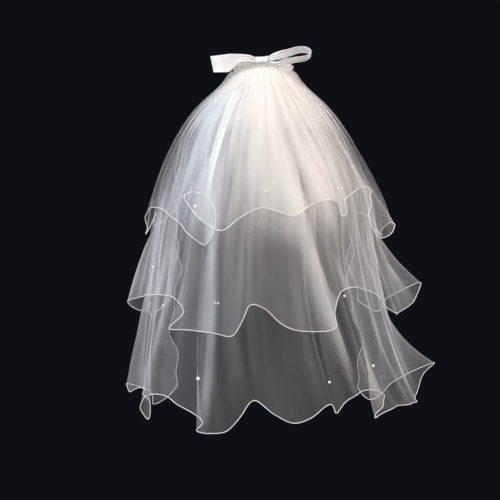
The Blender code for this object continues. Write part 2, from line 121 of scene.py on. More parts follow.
# Each hem's line, as seen, from the left front edge round the back to the right front edge
HEM_COLUMNS = ("across", "drop", "turn_deg", "stand")
HEM_TOP = (
    (None, 250, -120, 0),
    (None, 282, -112, 12),
    (None, 256, -104, 6),
    (None, 298, -94, 4),
    (-207, 288, -87, 12),
    (-212, 269, -84, 14),
    (-205, 255, -80, 14),
    (-194, 251, None, 14),
    (-181, 253, None, 12),
    (-150, 278, None, 8),
    (-104, 319, None, 6),
    (-87, 290, None, 10),
    (-92, 238, None, 22),
    (-121, 223, None, 27),
    (-141, 231, None, 49),
    (-112, 272, None, 46),
    (-74, 293, None, 37),
    (-41, 269, None, 24),
    (-2, 251, None, 14),
    (29, 258, None, 15),
    (56, 266, None, 14),
    (86, 246, None, 10),
    (121, 237, None, 8),
    (137, 244, None, 8),
    (140, 260, None, 8),
    (146, 267, None, 14),
    (151, 254, None, 20),
    (146, 240, None, 24),
    (153, 231, None, 20),
    (167, 220, None, 16),
    (187, 214, None, 14),
    (195, 221, None, 20),
    (192, 235, None, 28),
    (194, 248, None, 36),
    (190, 262, None, 44),
    (195, 282, None, 42),
    (206, 303, None, 38),
    (222, 304, None, 38),
    (233, 295, None, 42),
    (236, 284, None, 42),
    (230, 277, 79, 30),
    (221, 283, 85, 20),
    (212, 297, 91, 12),
    (None, 300, 99, 10),
    (None, 262, 112, 8),
    (None, 252, 120, 0),
)
HEM_MIDDLE = (
    (None, 420, -124, 0),
    (None, 452, -116, 14),
    (None, 425, -108, 8),
    (-212, 437, -99, 12),
    (-243, 420, -89, 30),
    (-225, 413, -78, 20),
    (-185, 408, None, 16),
    (-157, 416, None, 19),
    (-142, 438, None, 14),
    (-169, 468, None, 38),
    (-142, 471, None, 44),
    (-94, 476, None, 23),
    (-56, 483, None, 20),
    (-37, 455, None, 24),
    (-22, 426, None, 26),
    (2, 432, None, 20),
    (32, 459, None, 14),
    (61, 472, None, 14),
    (131, 468, None, 18),
    (130, 436, None, 22),
    (146, 399, None, 22),
    (175, 396, None, 18),
    (206, 408, None, 20),
    (219, 443, 70, 24),
    (252, 435, 84, 34),
    (272, 417, 90, 42),
    (284, 386, 96, 46),
    (None, 420, 108, 22),
    (None, 445, 116, 12),
    (None, 425, 124, 0),
)
HEM_BOTTOM = (
    (None, 590, -125, 0),
    (None, 625, -117, 14),
    (None, 600, -108, 10),
    (-245, 568, -93, 28),
    (-240, 583, -87, 32),
    (-220, 575, -79, 24),
    (-203, 602, None, 18),
    (-206, 633, None, 24),
    (-221, 612, None, 34),
    (-205, 588, None, 36),
    (-173, 591, None, 26),
    (-133, 617, None, 18),
    (-108, 638, None, 14),
    (-120, 652, None, 30),
    (-92, 658, None, 42),
    (-65, 654, None, 24),
    (-43, 632, None, 18),
    (-16, 598, None, 16),
    (25, 626, None, 14),
    (61, 640, None, 14),
    (125, 605, None, 12),
    (133, 622, None, 18),
    (153, 597, None, 20),
    (192, 579, None, 20),
    (219, 588, None, 19),
    (204, 630, None, 46),
    (238, 611, None, 51),
    (274, 591, 84, 44),
    (285, 556, 91, 42),
    (310, 531, 98, 46),
    (None, 580, 108, 24),
    (None, 618, 117, 12),
    (None, 595, 125, 0),
)
LEAST_STAND = 5.0
WIDEST_BACK_DEG = 78.0
TIER_COLUMNS = ("name", "steps_out", "hem", "ruffle_height", "left_lip", "right_lip", "core_share")
TIERS = (
    ("top", 2, HEM_TOP, 150, 2.0, 2.6, 1.0),
    ("middle", 1, HEM_MIDDLE, 125, 0.55, 1.2, 4.6),
    ("bottom", 0, HEM_BOTTOM, 200, 1.1, 3.0, 5.6),
)
ROUND_SHARE = 0.009
BEND_WEIGHT = 8.0
STEADY_SHARE = 0.05
LEAST_SPREAD = 0.4
TURN_SETTLES = (40.0, 230.0)
SWING_POWER = 1.9
STAND_POWER = 1.1
LIP_FROM = 16.0
LIP_SIDES_DEG = (-30.0, 30.0)
LEVEL_POWER = 1.25

# The fine gathers, which open out and give way to wider ones further down: how many, their
# height, where they stand highest and where they end, and whether each tier has its own
FINE_COLUMNS = ("count", "height", "widest_at", "ends_at", "own")
FINE_GATHERS = (
    (61, 0.35, 20, 90, 1),
    (43, 0.7, 40, 150, 0.3),
    (31, 1.4, 90, 300, 0.1),
    (21, 2.6, 200, 640, 0),
    (13, 3.0, 420, 900, 0.2),
)
FINE_STARTS_AT = -6.0
FINE_CALM = 0.65
FINE_CALM_DEG = (48.0, 72.0)
FINE_OUT_OF_STEP = 1.9

# The crisp creases seen from behind, and like ones at the sides and front: where each starts
# and ends, its width on the soft side, its height, and the layers of net that it gathers or,
# where the net opens, spreads
CREASE_COLUMNS = ("start_deg", "end_deg", "from_drop", "to_drop", "width_deg", "height", "layers")
CREASES = (
    (3, 14, 10, 340, 13.0, 0.0, 4.0),
    (2, 19, 10, 330, 5.5, 3.4, 4.5),
    (28, 36, 130, 310, 9.0, 0.0, 6.0),
    (15, 37, 220, 560, 4.6, 3.6, 6.5),
    (60, 64, 180, 330, 7.0, 1.5, 1.8),
    (86, 89, 290, 480, 4.5, 3.0, 4.5),
    (70, 84, 440, 640, 4.5, 3.0, 3.5),
    (-84, -90, 290, 480, 4.0, 2.6, 3.0),
    (-66, -80, 430, 640, 4.0, 3.0, 2.6),
    (10, 37, 20, 330, 6.5, 3.0, 2.2),
    (22, 45, 60, 300, 2.2, 2.6, 1.0),
    (-2, -5, 20, 260, 6.0, 2.4, 1.6),
    (-10, -11, 250, 480, 2.0, 2.6, 1.2),
    (-16, -19, 150, 320, 0.8, 1.4, 1.4),
    (-24, -23, 150, 640, 3.0, 3.8, 5.0),
    (-17, -29, 30, 200, 2.5, 2.2, 0.8),
    (-30, -52, 30, 290, 5.0, 2.6, 1.2),
    (-38, -46, 120, 480, 2.2, 2.6, 0.9),
    (-50, -54, 320, 540, 4.6, 2.8, 4.5),
    (-55, -62, 90, 620, 2.4, 3.0, 0.9),
    (31, 48, 300, 620, 1.8, 3.0, 2.6),
    (24, 39, 400, 620, 1.8, 3.0, 2.6),
    (47, 66, 90, 640, 3.0, 3.2, 1.6),
    (62, 74, 210, 640, 3.2, 3.0, 1.4),
    (76, 88, 260, 600, 3.0, 3.0, 1.6),
    (-72, -79, 250, 600, 3.4, 3.0, 2.2),
    (-88, -95, 110, 600, 2.4, 2.8, 0.5),
    (-44, -48, 90, 280, 7.0, 0.0, 1.2),
    (-104, -110, 140, 640, 2.2, 2.4, 0.4),
    (100, 108, 140, 640, 2.4, 2.4, 0.4),
    (20, 22, 175, 285, 3.4, -1.0, -5.0),
    (-17, -18, 160, 290, 3.4, -1.0, -4.5),
    (-37, -38, 150, 255, 1.8, -0.8, -4.0),
)
CRISP_SIDE = 0.4
CREASE_GROWS = (-20.0, 60.0)
CREASE_FADES_OVER = 90.0
CREASE_LOST_AT_HEM = 0.7

# How the net's thickness grows as it is gathered, more so over the middle of the back
GATHER_SHARE = 0.8
GATHER_LIMITS = (0.8, 14.0)
LEAST_LAYERS = 0.5
SIDE_SHARE = 0.24
SIDE_INNERMOST = 0.4
SIDE_A_STEP = 0.3
CORE_DEG = (30.0, 100.0)
CORE_POWER = 3.3
CORE_WAVES = ((3.5, 140.0), (2.5, 61.0))
CORE_MIDDLE = 2.0
CORE_FADES = (170.0, 340.0)
LOWER_SHARE = 1.4
TOP_SHARE = 1.9
TOP_FADES = (88.0, 132.0)
CORE_WIDER = 5.0

# Where painted warm light tints the net: by its turn, with less past the side and low down,
# and close under the comb
WARM_DEG = (-45.0, 5.0)
WARM_LOSS = 0.5
WARM_LOSS_DEG = (50.0, 95.0)
WARM_LOSS_DROP = (280.0, 450.0)
WARM_TOP = 0.8
WARM_TOP_FADES = (20.0, 95.0)

# How the tiers' front edges flutter: each wave's reach in degrees and length
EDGE_WAVES = ((3.2, 31.0), (1.8, 13.0))
EDGE_DEG = (78.0, 118.0)
EDGE_GROWS = (60.0, 200.0)

# The hem cords: how thick they are up the front edges, how far out they lie and how many sides
FRONT_CORD = 0.55
CORD_FRONT_OVER = 6
CORD_OUT = 0.75
CORD_SIDES = 8

# The gathered heading
HEADING_MIDDLE = 5.4
HEADING_HALF_DEPTH = 5.9
HEADING_HALF_HEIGHT = 5.2
HEADING_PLEATS = 131
HEADING_PLEAT = 0.35

# Its hand stitches: the rows' heights, how many, how far out, and each one's half sizes and tilt
STITCH_ROWS = (5.2, 8.4)
STITCH_COUNT = 44
STITCH_OUT = 6.3
STITCH_SIZE = (1.3, 0.34, 0.34)
STITCH_TILT = -0.2

# The ribbon bow
LOOP_COLUMNS = ("across", "y", "rise", "half_width", "tilt_deg")
LEFT_LOOP = (
    (-9, -21.5, 14.0, 4.0, 0),
    (-14.5, -22.8, 14.9, 4.8, 0),
    (-25, -28, 16.6, 6.3, 18),
    (-43, -32, 16.9, 7.8, 24),
    (-54, -33, 12.8, 12.2, 23),
    (-63, -33, 8.8, 15.5, 18),
    (-76, -32, 7.4, 15.0, 11),
    (-90, -30, 6.6, 14.4, 0),
    (-94.3, -26.5, 6.4, 14.3, 0),
    (-91, -23, 6.2, 14.0, 0),
    (-66, -22, 8, 13.0, 0),
    (-48, -21.5, 14, 8.5, 0),
    (-26, -19.5, 14.5, 5.6, 0),
    (-14.5, -17.5, 14, 4.2, 0),
    (-9, -18.0, 13.5, 3.6, 0),
)
RIGHT_LOOP = (
    (5.5, -21.5, 15.0, 3.2, 0),
    (9.5, -22.5, 17.0, 3.6, 0),
    (22, -25.5, 20.0, 7.5, 35),
    (40, -26.5, 25, 11.5, 60),
    (65, -27, 32.4, 12.2, 70),
    (80, -27, 31.5, 12.2, 73),
    (87, -27, 24.7, 12.2, 76),
    (78.5, -27, 17.3, 12.2, 76),
    (59.5, -26.5, 13.9, 12.0, 74),
    (40, -25, 11.0, 9.5, 68),
    (22, -20, 7.4, 5.0, 62),
    (9.5, -18.5, 10.0, 2.6, 30),
    (5.5, -18.8, 10.5, 2.4, 20),
)
LEFT_LEAN = 6.0
PINCH_REACH = 26.0
PINCH_PLEAT = 1.5
LOOP_WAVE = 0.5
RIBBON_HALF = 0.0125
KNOT_CENTRE = (-2.0, -19.5, 11.7)
KNOT_HALF_WIDTH = 11.0
KNOT_HALF_DEPTH = 6.0
KNOT_HALF_HEIGHT = 6.5
TAIL_TURN_DEG = -33.0
TAIL_HALF_WIDTH = 10.0
TAIL_FROM = 48.0
TAIL_TO = 222.0
TAIL_SLANT = 3.0
TAIL_CUT_OVER = 40.0

# The pearls as seen
PEARL_COLUMNS = ("across", "drop", "diameter")
PEARLS = (
    (-113.9, 559.8, 6.5),
    (4.5, 222.1, 3.2),
    (9.7, 222.1, 3.2),
    (136.1, 216.7, 3.2),
    (141.7, 216.7, 3.2),
    (-86.4, 423.2, 3.4),
    (-80.6, 424.1, 3.4),
    (-121.0, 250.9, 5.0),
    (-196.2, 358.9, 4.0),
    (145.8, 411.1, 4.5),
    (197.1, 537.1, 5.0),
    (120.1, 565.9, 4.5),
    (-178.2, 427.3, 3.6),
)
PEARL_SEATED = 0.92

# The soft lights: place, size, the setting that holds the power, and colour
LIGHT_COLUMNS = ("name", "place", "size", "power", "colour")
LIGHTS = (
    ("key", (-1.9, -1.7, 0.7), 1.5, "key_power", (0.88, 0.93, 1.0)),
    ("fill", (1.8, -1.6, 0.4), 1.3, "fill_power", (1.0, 0.86, 0.83)),
    ("front", (0.0, -2.4, 0.1), 1.8, "front_power", (1.0, 0.97, 0.95)),
    ("rim_left", (-1.5, 1.5, 0.5), 1.0, "rim_power", (0.93, 0.96, 1.0)),
    ("rim_right", (1.5, 1.4, 0.4), 1.0, "rim_power", (1.0, 0.95, 0.95)),
    ("top", (0.1, -0.9, 1.7), 1.2, "fill_power", (1.0, 0.95, 0.88)),
)
LIGHTS_AIM = (0, 0, -0.3)
FLOOR_RADIUS = 3.6
SEEN_WIDTH = 900.0
SENSOR_WIDTH = 36.0


# Shapes


def column(rows, names, name):
    """One named column of a table."""
    at = names.index(name)
    return np.array([row[at] for row in rows], float)


def rows_of(names, rows):
    """A table's rows, each with its columns by name."""
    return [namedtuple("Row", names)(*row) for row in rows]


def curve_through(knots, values, at):
    """A smooth curve through values at knots, read at the places in at."""
    knots = np.asarray(knots, float)
    values = np.asarray(values, float)
    at = np.clip(np.asarray(at, float), knots[0], knots[-1])
    slopes = np.gradient(values, knots)
    i = np.clip(np.searchsorted(knots, at, side="right") - 1, 0, len(knots) - 2)
    width = knots[i + 1] - knots[i]
    t = (at - knots[i]) / width
    start = (2 * t**3 - 3 * t**2 + 1) * values[i]
    leave = (t**3 - 2 * t**2 + t) * width * slopes[i]
    end = (3 * t**2 - 2 * t**3) * values[i + 1]
    arrive = (t**3 - t**2) * width * slopes[i + 1]
    return start + leave + end + arrive


def ease(low, high, at):
    """0 at low and 1 at high, with a smooth start and end."""
    t = np.clip((np.asarray(at, float) - low) / (high - low), 0, 1)
    return t * t * (3 - 2 * t)


def form_at(drop):
    """Half width, depth, middle and wrap of the hollow form at each drop."""
    levels = column(FORM, FORM_COLUMNS, "drop")
    return [
        curve_through(levels, column(FORM, FORM_COLUMNS, name), drop)
        for name in FORM_COLUMNS[1:]
    ]


def step_at(drop):
    """How far apart the tiers lie at each drop."""
    return STEP_AT_COMB + (STEP_BELOW - STEP_AT_COMB) * ease(0, STEP_REACHED_AT, drop)


def droop_at(x, drop):
    """How far the comb's bow lowers a place this far across, at each drop."""
    return DROOP * 2 * x**2 / (x**2 + DROOP_REACH**2) * (1 - ease(0, DROOP_ENDS_AT, drop))


def folds_at(turn, wrap, drop):
    """How far the gathers and the large folds stand off the form, at turns in degrees."""
    rise = ease(-4, GATHER_WIDEST_AT, drop)
    fade = 1 - ease(GATHER_WIDEST_AT, GATHER_ENDS_AT, drop)
    height = (GATHER_AT_COMB + (GATHER_MOST - GATHER_AT_COMB) * rise) * fade
    share = (turn / wrap + 1) / 2
    uneven = (0.8 + 0.2 * np.sin(17 * share + 1)) * ease(1, 0.75, abs(2 * share - 1))
    stand = height * uneven * np.cos(2 * math.pi * GATHERS * share)
    lean = np.clip((drop - FOLD_STARTS_AT) / (FOLD_ENDS_AT - FOLD_STARTS_AT), -0.2, 1.1)
    grown = ease(*FOLD_GROWS, drop)
    for fold in rows_of(FOLD_COLUMNS, FOLDS):
        middle = fold.start_deg + (fold.end_deg - fold.start_deg) * lean
        stand = stand + grown * fold.height * np.exp(-(((turn - middle) / fold.width_deg) ** 2))
    return stand - FOLD_SETTLES * grown


def on_form(turn, drop, out):
    """Points in x and y at turns in degrees, at each drop, this far outside the form."""
    half_width, depth, middle_y, middle_x, wrap = form_at(drop)
    stand = out + folds_at(turn, wrap, drop)
    angle = np.radians(turn)
    x = middle_x + (half_width + stand) * np.sin(angle)
    y = middle_y - (depth + stand) * np.cos(angle)
    return x, y


def hem_turns(rows, steps_out):
    """Each row of a hem's table as its turn round the form, drop and stand."""
    across, drop, turn, stand = (column(rows, HEM_COLUMNS, n) for n in HEM_COLUMNS)
    back, front = np.isnan(turn), np.isnan(across)
    half_width, depth, middle_y, middle_x, wrap = form_at(drop)
    turn = np.where(back, np.degrees(np.arcsin(across / 400)), turn)
    for _ in range(12):
        angle = np.radians(turn)
        off = steps_out * step_at(drop) + folds_at(turn, wrap, drop)
        y = middle_y - (depth + off + stand) * np.cos(angle)
        nearer = (EYE_DISTANCE + y) / EYE_DISTANCE
        seen = EYE_ACROSS + (across - EYE_ACROSS) * nearer
        share = np.clip((seen - middle_x) / (half_width + off + stand), -1, 1)
        found = np.clip(np.degrees(np.arcsin(share)), -WIDEST_BACK_DEG, WIDEST_BACK_DEG)
        turn = np.where(back, found, turn)
    aside = ~front & (np.abs(turn) >= WIDEST_BACK_DEG)
    reach = (seen - middle_x) / np.sin(np.where(aside, angle, 1.0))
    reached = np.maximum(reach - half_width - off, LEAST_STAND)
    stand = np.where(aside, reached, stand)
    down = np.where(front, drop, EYE_DROP + (drop - EYE_DROP) * nearer)
    return turn, down, stand


def steadied(values, share):
    """Values evened out along the hem over this share of it, with the ends kept."""
    reach = int(len(values) * share)
    before = 2 * values[0] - values[reach:0:-1]
    after = 2 * values[-1] - values[-2 : -reach - 2 : -1]
    long = np.concatenate([before, values, after])
    weights = np.hanning(2 * reach + 1)
    return np.convolve(long, weights / weights.sum(), "valid")


def hem_line(rows, steps_out, samples=1600):
    """The hem's turn, drop and stand along it, closer at its bends, and its length."""
    turn, drop, stand = hem_turns(rows, steps_out)
    x, y = on_form(turn, drop, steps_out * step_at(drop) + stand)
    steps = np.linalg.norm(np.diff(np.stack([x, y, drop], 1), axis=0), axis=1)
    knots = np.concatenate([[0], np.cumsum(np.sqrt(steps))])
    at = np.linspace(0, knots[-1], samples)
    fine = [curve_through(knots, values, at) for values in (turn, drop, stand)]
    fine = [steadied(values, ROUND_SHARE) for values in fine]
    x, y = on_form(fine[0], fine[1], steps_out * step_at(fine[1]) + fine[2])
    moves = np.diff(np.stack([x, y, fine[1]], 1), axis=0)
    moved = np.linalg.norm(moves, axis=1)
    ways = moves / moved[:, None]
    bend = np.arccos(np.clip((ways[1:] * ways[:-1]).sum(1), -1, 1))
    weight = moved + BEND_WEIGHT * np.concatenate([[0], bend])
    measure = np.concatenate([[0], np.cumsum(weight)])
    even = np.linspace(0, measure[-1], samples)
    return [np.interp(even, measure, values) for values in fine], moved.sum()


def spread(turns):
    """Turns that never run back or stand still, between the same two ends."""
    steps = np.diff(turns)
    steps = np.maximum(steps, LEAST_SPREAD * (turns[-1] - turns[0]) / len(steps))
    steps *= (turns[-1] - turns[0]) / steps.sum()
    return turns[0] + np.concatenate([[0], np.cumsum(steps)])


def creases_at(turn, share, drop, tier):
    """How far the fine gathers and crisp creases stand off, and the layers that they add."""
    stand = np.zeros_like(turn)
    layers = np.zeros_like(turn)
    ends = ease(1, 0.9, abs(2 * share - 1)) * (1 - FINE_CALM * ease(*FINE_CALM_DEG, np.abs(turn)))
    for k, fine in enumerate(rows_of(FINE_COLUMNS, FINE_GATHERS)):
        window = ease(FINE_STARTS_AT, fine.widest_at, drop)
        window = window * (1 - ease(fine.widest_at, fine.ends_at, drop))
        uneven = 0.6 + 0.4 * np.sin(share * (13 + 5 * k) + 2 * k)
        wander = 1.9 * np.sin(share * (9 + 2 * k) + k) + 0.5 * np.sin(drop / 90 + 3 * k)
        along = 2 * math.pi * fine.count * share
        wave = np.cos(along + wander + fine.own * FINE_OUT_OF_STEP * tier) - 0.25 * np.cos(along)
        stand = stand + ends * window * fine.height * uneven * wave
    for crease in rows_of(CREASE_COLUMNS, CREASES):
        start, end = crease.from_drop, crease.to_drop
        part = np.clip((drop - start) / (end - start), 0, 1)
        window = ease(start + CREASE_GROWS[0], start + CREASE_GROWS[1], drop)
        window = window * (1 - ease(end - CREASE_FADES_OVER, end, drop))
        aside = turn - (crease.start_deg + (crease.end_deg - crease.start_deg) * part)
        aside = aside / np.where(aside > 0, crease.width_deg * CRISP_SIDE, crease.width_deg)
        bump = window * np.exp(-(aside**2))
        stand = stand + crease.height * bump
        layers = layers + crease.layers * bump
    return stand, layers


def hem_along(rows, steps_out, columns):
    """The hem's turn, drop and stand at each column, then its turn and drop evened out."""
    (turn, drop, stand), _ = hem_line(rows, steps_out)
    calm_turn = spread(steadied(turn, STEADY_SHARE))
    calm_drop = steadied(drop, 2 * STEADY_SHARE)
    share = np.linspace(0, 1, columns + 1)
    fine = np.linspace(0, 1, len(turn))
    return [np.interp(share, fine, v) for v in (turn, drop, stand, calm_turn, calm_drop)]


def thickness_at(turn, share, drop, steps_out, core_share):
    """How much net lies here before its own gathers: most over the middle of the back."""
    top = 1 - ease(*TOP_FADES, drop)
    off_middle = np.abs(turn - CORE_MIDDLE) - CORE_WIDER * top
    for reach, count in CORE_WAVES:
        off_middle = off_middle + reach * np.sin(count * share + 2 * steps_out)
    core = (1 - ease(*CORE_DEG, off_middle)) ** CORE_POWER * (core_share + TOP_SHARE * top)
    upper = SIDE_SHARE * (SIDE_INNERMOST + SIDE_A_STEP * steps_out) + core
    return upper + (LOWER_SHARE - upper) * ease(*CORE_FADES, drop)


def painted_warm_light_at(turn, drop):
    """How far the net's colour leans to the painted warm light, from 0 to 1."""
    warm = ease(*WARM_DEG, turn) * (1 - WARM_LOSS * ease(*WARM_LOSS_DEG, turn))
    warm = warm * (1 - WARM_LOSS * ease(*WARM_LOSS_DROP, drop))
    return np.maximum(warm, WARM_TOP * (1 - ease(*WARM_TOP_FADES, drop)))


def tier_surface(tier, columns, levels):
    """A tier as grids, levels down by columns along: its points, its layers and its painted warm
    light.
    """
    hem_turn, hem_drop, hem_stand, calm_turn, calm_drop = hem_along(
        tier.hem, tier.steps_out, columns
    )
    share = np.linspace(0, 1, columns + 1)
    calm_share = calm_turn / abs(calm_turn).max()
    lip = np.maximum(hem_stand - LIP_FROM, 0)
    grid = np.zeros((levels + 1, columns + 1, 3))
    added, thickness, warmth = np.zeros((3, levels + 1, columns + 1))
    for i, part in enumerate(np.linspace(0, 1, levels + 1) ** LEVEL_POWER):
        drop = -TOP_HEIGHT + (calm_drop + TOP_HEIGHT) * part
        settle = ease(*TURN_SETTLES, drop)
        wrap = form_at(drop)[-1]
        turn = wrap * ((2 * share - 1) * (1 - settle) + calm_share * settle)
        ruffle = np.clip(1 - (calm_drop - drop) / tier.ruffle_height, 0, 1)
        swing = ruffle**SWING_POWER
        turn = turn + (hem_turn - turn) * swing
        drop = drop + (hem_drop - calm_drop) * swing
        side = ease(*LIP_SIDES_DEG, turn)
        lip_power = tier.left_lip + (tier.right_lip - tier.left_lip) * side
        stand = (hem_stand - lip) * ruffle**STAND_POWER + lip * ruffle**lip_power
        flutter = ease(*EDGE_DEG, np.abs(turn)) * ease(*EDGE_GROWS, drop)
        for k, (reach, long) in enumerate(EDGE_WAVES):
            phase = 2.1 * tier.steps_out + 3 * k + np.sign(turn)
            turn = turn + flutter * reach * np.sin(drop / long + phase)
        crease, added[i] = creases_at(turn, share, drop, tier.steps_out)
        crease = crease * (1 - CREASE_LOST_AT_HEM * ruffle**2)
        thickness[i] = thickness_at(turn, share, drop, tier.steps_out, tier.core_share)
        warmth[i] = painted_warm_light_at(turn, drop)
        x, y = on_form(turn, drop, tier.steps_out * step_at(drop) + stand + crease)
        grid[i] = np.stack([x, y, -drop - droop_at(x, drop)], 1)
    hem_step = np.linalg.norm(np.diff(grid[-1], axis=0), axis=1)
    across = np.linalg.norm(np.diff(grid, axis=1), axis=2)
    gathered = np.clip(hem_step / np.maximum(across, 1e-3), *GATHER_LIMITS) ** GATHER_SHARE
    gathered = np.concatenate([gathered[:, :1], gathered], 1)
    layers = np.maximum(gathered * thickness + added, LEAST_LAYERS)
    return grid, {"layers": layers, "warmth": warmth}


def cut_places(grid):
    """Each point's place on the flat cloth, in metres: along the hem and down the tier."""
    along = np.concatenate([[0], np.cumsum(np.linalg.norm(np.diff(grid[-1], axis=0), axis=1))])
    steps = np.linalg.norm(np.diff(grid, axis=0), axis=2).mean(1)
    down = np.concatenate([[0], np.cumsum(steps)])
    u, v = np.meshgrid(along, down)
    return np.stack([u, -v], 2) * MM


# Meshes


def finished(made, finish, slot, *nodes):
    """A piece with its finish, on the model's body and in place of these nodes."""
    made.data.materials.clear()
    made.data.materials.append(finish)
    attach(made, "root")
    if nodes:
        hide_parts(*nodes)
    return made


def linked(name, mesh):
    """A new object for this mesh."""
    made = bpy.data.objects.new(name, mesh)
    bpy.context.scene.collection.objects.link(made)
    return made


def cloth(name, grid, places, facts):
    """A grid of points in millimetres as one smooth sheet, with its places and facts."""
    levels, columns = grid.shape[0], grid.shape[1]
    first = (np.arange(levels - 1)[:, None] * columns + np.arange(columns - 1)).reshape(-1)
    faces = np.stack([first, first + 1, first + 1 + columns, first + columns], 1)[:, ::-1]
    mesh = bpy.data.meshes.new(name)
    mesh.from_pydata((grid.reshape(-1, 3) * MM).tolist(), [], faces.tolist())
    mesh.update()
    corners = faces.reshape(-1)
    layer = mesh.uv_layers.new(name="Cut")
    layer.data.foreach_set("uv", places.reshape(-1, 2)[corners].reshape(-1))
    for label, values in facts.items():
        fact = mesh.attributes.new(label, "FLOAT", "POINT")
        fact.data.foreach_set("value", np.asarray(values, np.float32).reshape(-1))
    mesh.shade_smooth()
    return linked(name, mesh)


def tube(name, line, radius, sides):
    """A round tube along a line in millimetres, with a radius at each point and closed ends."""
    away = np.gradient(line, axis=0)
    away /= np.linalg.norm(away, axis=1, keepdims=True)
    side = np.zeros_like(line)
    last = np.cross(away[0], (0, 0, 1.0))
    for i, way in enumerate(away):
        last = last - way * (last @ way)
        last = last / np.linalg.norm(last)
        side[i] = last
    over = np.cross(away, side)
    turns = np.linspace(0, 2 * math.pi, sides, endpoint=False)
    rings = line[:, None] + radius[:, None, None] * (
        np.cos(turns)[None, :, None] * side[:, None] + np.sin(turns)[None, :, None] * over[:, None]
    )
    count = len(line)
    points = rings.reshape(-1, 3) * MM
    faces = []
    for i in range(count - 1):
        for j in range(sides):
            k = (j + 1) % sides
            faces.append((i * sides + j, i * sides + k, (i + 1) * sides + k, (i + 1) * sides + j))
    faces.append(tuple(reversed(range(sides))))
    faces.append(tuple((count - 1) * sides + j for j in range(sides)))
    mesh = bpy.data.meshes.new(name)
    mesh.from_pydata(points.tolist(), [], faces)
    length = np.concatenate([[0], np.cumsum(np.linalg.norm(np.diff(line, axis=0), axis=1))])
    layer = mesh.uv_layers.new(name="Cut")
    for poly in mesh.polygons:
        if len(poly.vertices) != 4:
            continue
        for loop, vert in zip(poly.loop_indices, poly.vertices):
            ring, place = divmod(vert, sides)
            if place == 0 and sides - 1 in [v % sides for v in poly.vertices]:
                place = sides
            layer.data[loop].uv = (length[ring] * MM, place / sides)
    mesh.shade_smooth()
    bm = bmesh.new()
    bm.from_mesh(mesh)
    bmesh.ops.recalc_face_normals(bm, faces=bm.faces)
    bm.to_mesh(mesh)
    bm.free()
    return linked(name, mesh)


def mitred(points, inner):
    """Directions away from inner, mitred between the two stretches that meet at each point."""
    steps = np.diff(points, axis=0)
    steps /= np.linalg.norm(steps, axis=1, keepdims=True)
    middle = 0
    for step in (np.concatenate([steps[:1], steps]), np.concatenate([steps, steps[-1:]])):
        away = points - inner
        away = away - (away * step).sum(1, keepdims=True) * step
        middle = middle + away / np.linalg.norm(away, axis=1, keepdims=True) / 2
    return middle / np.maximum((middle**2).sum(1, keepdims=True), 0.5)


def edge_line(grid, clear):
    """The corded edge's line: down the left front edge, along the hem and up the right."""
    left = clear * mitred(grid[2:, 0], grid[2:, 3])
    right = clear * mitred(grid[2:, -1], grid[2:, -4])
    below = clear * mitred(grid[-1], grid[-3])
    below[0] += left[-1]
    below[-1] += right[-1]
    sides = grid[2:-1, 0] + left[:-1], grid[2:-1, -1] + right[:-1]
    return np.concatenate([sides[0], grid[-1] + below, sides[1][::-1]])


def cloth_tree(grid):
    """A tier's grid of points as a surface that lines can be aimed at."""
    levels, columns = grid.shape[0], grid.shape[1]
    first = (np.arange(levels - 1)[:, None] * columns + np.arange(columns - 1)).reshape(-1)
    faces = np.stack([first, first + 1, first + 1 + columns, first + columns], 1)
    return BVHTree.FromPolygons([Vector(p) for p in grid.reshape(-1, 3)], faces.tolist())


def walled(made, thickness):
    """The sheet given this thickness in millimetres, applied."""
    wall = made.modifiers.new("Wall", "SOLIDIFY")
    wall.thickness = thickness * MM
    wall.offset = 0.0
    apply_all(made)
    return made


def apply_all(made):
    """All of a piece's modifiers, applied in order."""
    bpy.ops.object.select_all(action="DESELECT")
    made.select_set(True)
    bpy.context.view_layer.objects.active = made
    for modifier in list(made.modifiers):
        bpy.ops.object.modifier_apply(modifier=modifier.name)
    made.select_set(False)


# Finishes


def new_material(name):
    """An empty node material and its output."""
    made = bpy.data.materials.new(name)
    made.use_nodes = True
    made.node_tree.nodes.clear()
    return made, made.node_tree.nodes.new("ShaderNodeOutputMaterial")


def node(tree, kind, **settings):
    """A new node, with its settings and its sockets' values by name."""
    made = tree.nodes.new(kind)
    for name, value in settings.items():
        if hasattr(made, name):
            setattr(made, name, value)
        else:
            made.inputs[name.replace("_", " ")].default_value = value
    return made


def maths(tree, operation, *values):
    """A Math node on these values, each a number or another node's output."""
    made = tree.nodes.new("ShaderNodeMath")
    made.operation = operation
    for socket, value in zip(made.inputs, values):
        if isinstance(value, (int, float)):
            socket.default_value = value
        else:
            tree.links.new(value, socket)
    return made.outputs[0]


def scaled_place(tree, scale):
    """The place on the flat cloth in metres, stretched by scale."""
    place = node(tree, "ShaderNodeUVMap", uv_map="Cut")
    moved = node(tree, "ShaderNodeMapping")
    moved.inputs["Scale"].default_value = scale
    tree.links.new(place.outputs["UV"], moved.inputs["Vector"])
    return moved.outputs["Vector"]


def between(tree, value, low, high, to_low, to_high, smooth=True):
    """Value taken from low..high to to_low..to_high."""
    made = node(tree, "ShaderNodeMapRange")
    made.interpolation_type = "SMOOTHSTEP" if smooth else "LINEAR"
    for socket, number in zip(made.inputs[1:5], (low, high, to_low, to_high)):
        socket.default_value = number
    tree.links.new(value, made.inputs["Value"])
    return made.outputs["Result"]


def noise(tree, vector, scale, detail=3.0, roughness=0.5):
    """A noise over this vector."""
    made = node(tree, "ShaderNodeTexNoise", Scale=scale, Detail=detail, Roughness=roughness)
    tree.links.new(vector, made.inputs["Vector"])
    return made.outputs["Fac"]


def streaks(tree, scale):
    """Long uneven streaks down the cloth, from -1 to 1."""
    return between(tree, noise(tree, scaled_place(tree, scale), 1.0, 2.0), 0.3, 0.7, -1.0, 1.0)


